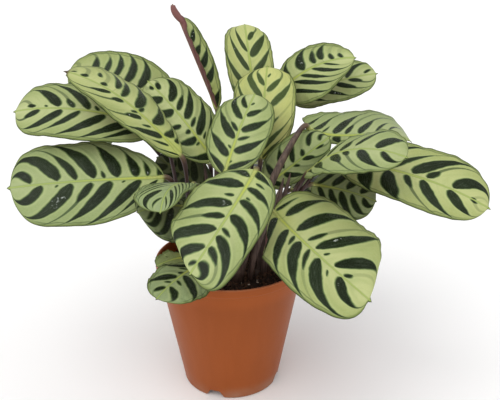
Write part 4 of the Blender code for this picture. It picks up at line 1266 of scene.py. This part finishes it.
ICO = np.array([(0, 0, 1.0), *[(0.894 * math.cos(a), 0.894 * math.sin(a), 0.447)
                               for a in np.radians(np.arange(0, 360, 72))],
                *[(0.894 * math.cos(a), 0.894 * math.sin(a), -0.447)
                  for a in np.radians(np.arange(36, 396, 72))], (0, 0, -1.0)])
ICO_FACES = np.array([(0, 1, 2), (0, 2, 3), (0, 3, 4), (0, 4, 5), (0, 5, 1), (1, 6, 2), (2, 6, 7), (2, 7, 3),
                      (3, 7, 8), (3, 8, 4), (4, 8, 9), (4, 9, 5), (5, 9, 10), (5, 10, 1), (1, 10, 6),
                      (6, 11, 7), (7, 11, 8), (8, 11, 9), (9, 11, 10), (10, 11, 6)])


def scatter_bits(name, number, sizes, seed):
    """Loose bits on the soil: a jittered twenty-sided lump, stretched and turned, at seeded places."""
    random = np.random.default_rng(seed)
    turn = random.uniform(0, math.tau, number)
    distance = SCATTER_RADIUS * np.sqrt(random.uniform(0, 1, number))
    x, y = distance * np.cos(turn), distance * np.sin(turn)
    size = random.uniform(*sizes, number)[:, None, None]
    stretch = random.uniform(0.45, 1.25, (number, 1, 3))
    lump = ICO[None] * (1 + random.uniform(-0.22, 0.22, (number, 12, 1))) * stretch * size
    spin = unit(random.normal(size=(number, 3)))
    other = unit(np.cross(spin, random.normal(size=(number, 3))))
    third = np.cross(spin, other)
    lump = lump[..., :1] * spin[:, None] + lump[..., 1:2] * other[:, None] + lump[..., 2:] * third[:, None]
    centre = np.stack([x, y, soil_height(x, y) + size[:, 0, 0] * 0.2], -1)
    points = (lump + centre[:, None]).reshape(-1, 3)
    faces = (ICO_FACES[None] + 12 * np.arange(number)[:, None, None]).reshape(-1, 3)
    bits = new_piece(name, points, [faces], smooth=False)
    put_values(bits.data, "shade", np.repeat(random.uniform(0, 1, number), ICO_FACES.size))
    return bits


def soil_finish(settings):
    """Damp peat: nearly black, with brown fibres and a grainy relief."""
    recipe = Recipe("peat", IOR=1.4, Specular_IOR_Level=0.3)
    fine, coarse = recipe.noise(900.0, 4.0, 0.7), recipe.noise(200.0, 3.0, 0.6)
    colour = recipe.coats(settings.colour, (recipe.ramp(coarse, 0.4, 0.7), (0.045, 0.026, 0.016)),
                          (recipe.ramp(fine, 0.6, 0.8, 0.0, 0.7), (0.13, 0.075, 0.04)))
    return recipe.done(colour, recipe.ramp(coarse, 0.3, 0.7, 0.75, 0.95), fine, 0.0007)


def crumb_finish(name, dark, light, rough):
    """Crumbs and grains: each has its own shade between two colours, with a rough skin."""
    recipe = Recipe(name, IOR=1.4, Specular_IOR_Level=0.3)
    fine = recipe.noise(1300.0, 3.0, 0.6)
    colour = recipe.mix(*recipe.values("shade"), dark, light)
    colour = recipe.mix(recipe.ramp(fine, 0.4, 0.7, 0.0, 0.5), colour, shaded(light, 0.55))
    return recipe.done(colour, recipe.ramp(fine, 0.3, 0.7, rough - 0.1, rough), fine, 0.0003)


class PLANT_OT_soil(bpy.types.Operator):
    """Builds the soil with its crumbs and pale grains."""
    bl_idname = "plant.soil"
    bl_label = "Soil"

    def execute(self, context):
        settings = context.scene.calathea_soil
        bed = make_soil()
        bed.data.materials.append(soil_finish(settings))
        finish_piece(bed, "soil", "soil")
        crumbs = scatter_bits("soil_crumbs", settings.crumbs, (0.0006, 0.0022), 21)
        crumbs.data.materials.append(crumb_finish("bark", (0.016, 0.010, 0.007), (0.10, 0.055, 0.030), 0.9))
        finish_piece(crumbs, "soil")
        grains = scatter_bits("soil_grains", settings.grains, (0.0006, 0.0014), 22)
        grains.data.materials.append(crumb_finish("perlite", (0.42, 0.36, 0.27), (0.72, 0.66, 0.55), 0.8))
        finish_piece(grains, "soil")
        return {"FINISHED"}


def add_lamp(name, place, power, spread, colour):
    """A soft far light that looks from a place at the lamps' aim; spread is its width in degrees."""
    light = bpy.data.lights.new(name, "SUN")
    light.angle, light.energy, light.color = math.radians(spread), power, colour
    thing = bpy.data.objects.new(name, light)
    bpy.context.scene.collection.objects.link(thing)
    thing.location = place
    back = np.array(place) - np.array(LAMP_AIM)
    pitch = math.atan2(math.hypot(back[0], back[1]), back[2])
    thing.rotation_euler = (pitch, 0.0, math.atan2(back[0], -back[1]))


class PLANT_OT_stage(bpy.types.Operator):
    """Builds the floor, the soft light and the camera."""
    bl_idname = "plant.stage"
    bl_label = "Stage"

    def execute(self, context):
        settings = context.scene.calathea_stage
        scene = context.scene
        corners = np.array([(-1, -1, 0), (1, -1, 0), (1, 1, 0), (-1, 1, 0)]) * FLOOR_SPAN
        floor = new_piece("floor", corners - np.array([0, 0, FLOOR_GAP]), [np.array([[0, 1, 2, 3]])])
        recipe = Recipe("floor_paper")
        cloud = recipe.noise(3.0, 2.0)
        colour = recipe.mix(recipe.ramp(cloud, 0.3, 0.7, 0.0, 0.3), settings.floor,
                            shaded(settings.floor, 0.97))
        floor.data.materials.append(recipe.done(colour, 0.8, cloud, 0.0001))
        world = bpy.data.worlds.new("studio")
        world.use_nodes = True
        sky = world.node_tree.nodes["Background"].inputs
        sky["Color"].default_value, sky["Strength"].default_value = (1.0, 1.0, 1.0, 1.0), ROOM_LIGHT
        scene.world = world
        for name, lamp in LAMPS.items():
            add_lamp(name, *lamp)
        camera = bpy.data.cameras.new("camera")
        camera.sensor_fit, camera.sensor_width, camera.lens = "HORIZONTAL", 36.0, settings.lens
        camera.clip_start, camera.clip_end = 0.01, 20.0
        holder = bpy.data.objects.new("camera", camera)
        scene.collection.objects.link(holder)
        holder.location = settings.place
        holder.rotation_euler = (math.radians(90 - settings.pitch), 0.0, 0.0)
        scene.camera = holder
        scene.view_settings.view_transform = "Standard"
        return {"FINISHED"}


class PLANT_PT_panel(bpy.types.Panel):
    """Lists the pieces of the plant and their settings."""
    bl_idname = "PLANT_PT_calathea"
    bl_label = "Calathea"
    bl_space_type = "VIEW_3D"
    bl_region_type = "UI"
    bl_category = "Calathea"

    def draw(self, context):
        for operator, group in PARTS:
            settings = getattr(context.scene, group)
            box = self.layout.box()
            box.operator(operator)
            for name in settings.__annotations__:
                box.prop(settings, name)


PARTS = (("plant.pot", "calathea_pot"), ("plant.soil", "calathea_soil"), ("plant.stalks", "calathea_stalks"),
         ("plant.blades", "calathea_blades"), ("plant.stage", "calathea_stage"))
GROUPS = {"calathea_pot": PotSettings, "calathea_soil": SoilSettings, "calathea_stalks": StalkSettings,
          "calathea_blades": BladeSettings, "calathea_stage": StageSettings}
CLASSES = (*GROUPS.values(), PLANT_OT_pot, PLANT_OT_soil, PLANT_OT_stalks, PLANT_OT_blades, PLANT_OT_stage,
           PLANT_PT_panel)


def register():
    """Registers the classes and hangs their settings on the scene."""
    for kind in CLASSES:
        bpy.utils.register_class(kind)
    for name, kind in GROUPS.items():
        setattr(bpy.types.Scene, name, PointerProperty(type=kind))


def unregister():
    """Takes the settings and the classes away again."""
    for name in GROUPS:
        delattr(bpy.types.Scene, name)
    for kind in reversed(CLASSES):
        bpy.utils.unregister_class(kind)


def main():
    register()
    bpy.ops.plant.pot()
    bpy.ops.plant.soil()
    bpy.ops.plant.stalks()
    bpy.ops.plant.blades()
    bpy.ops.plant.stage()
    bpy.context.view_layer.update()


if __name__ == "__main__":
    main()
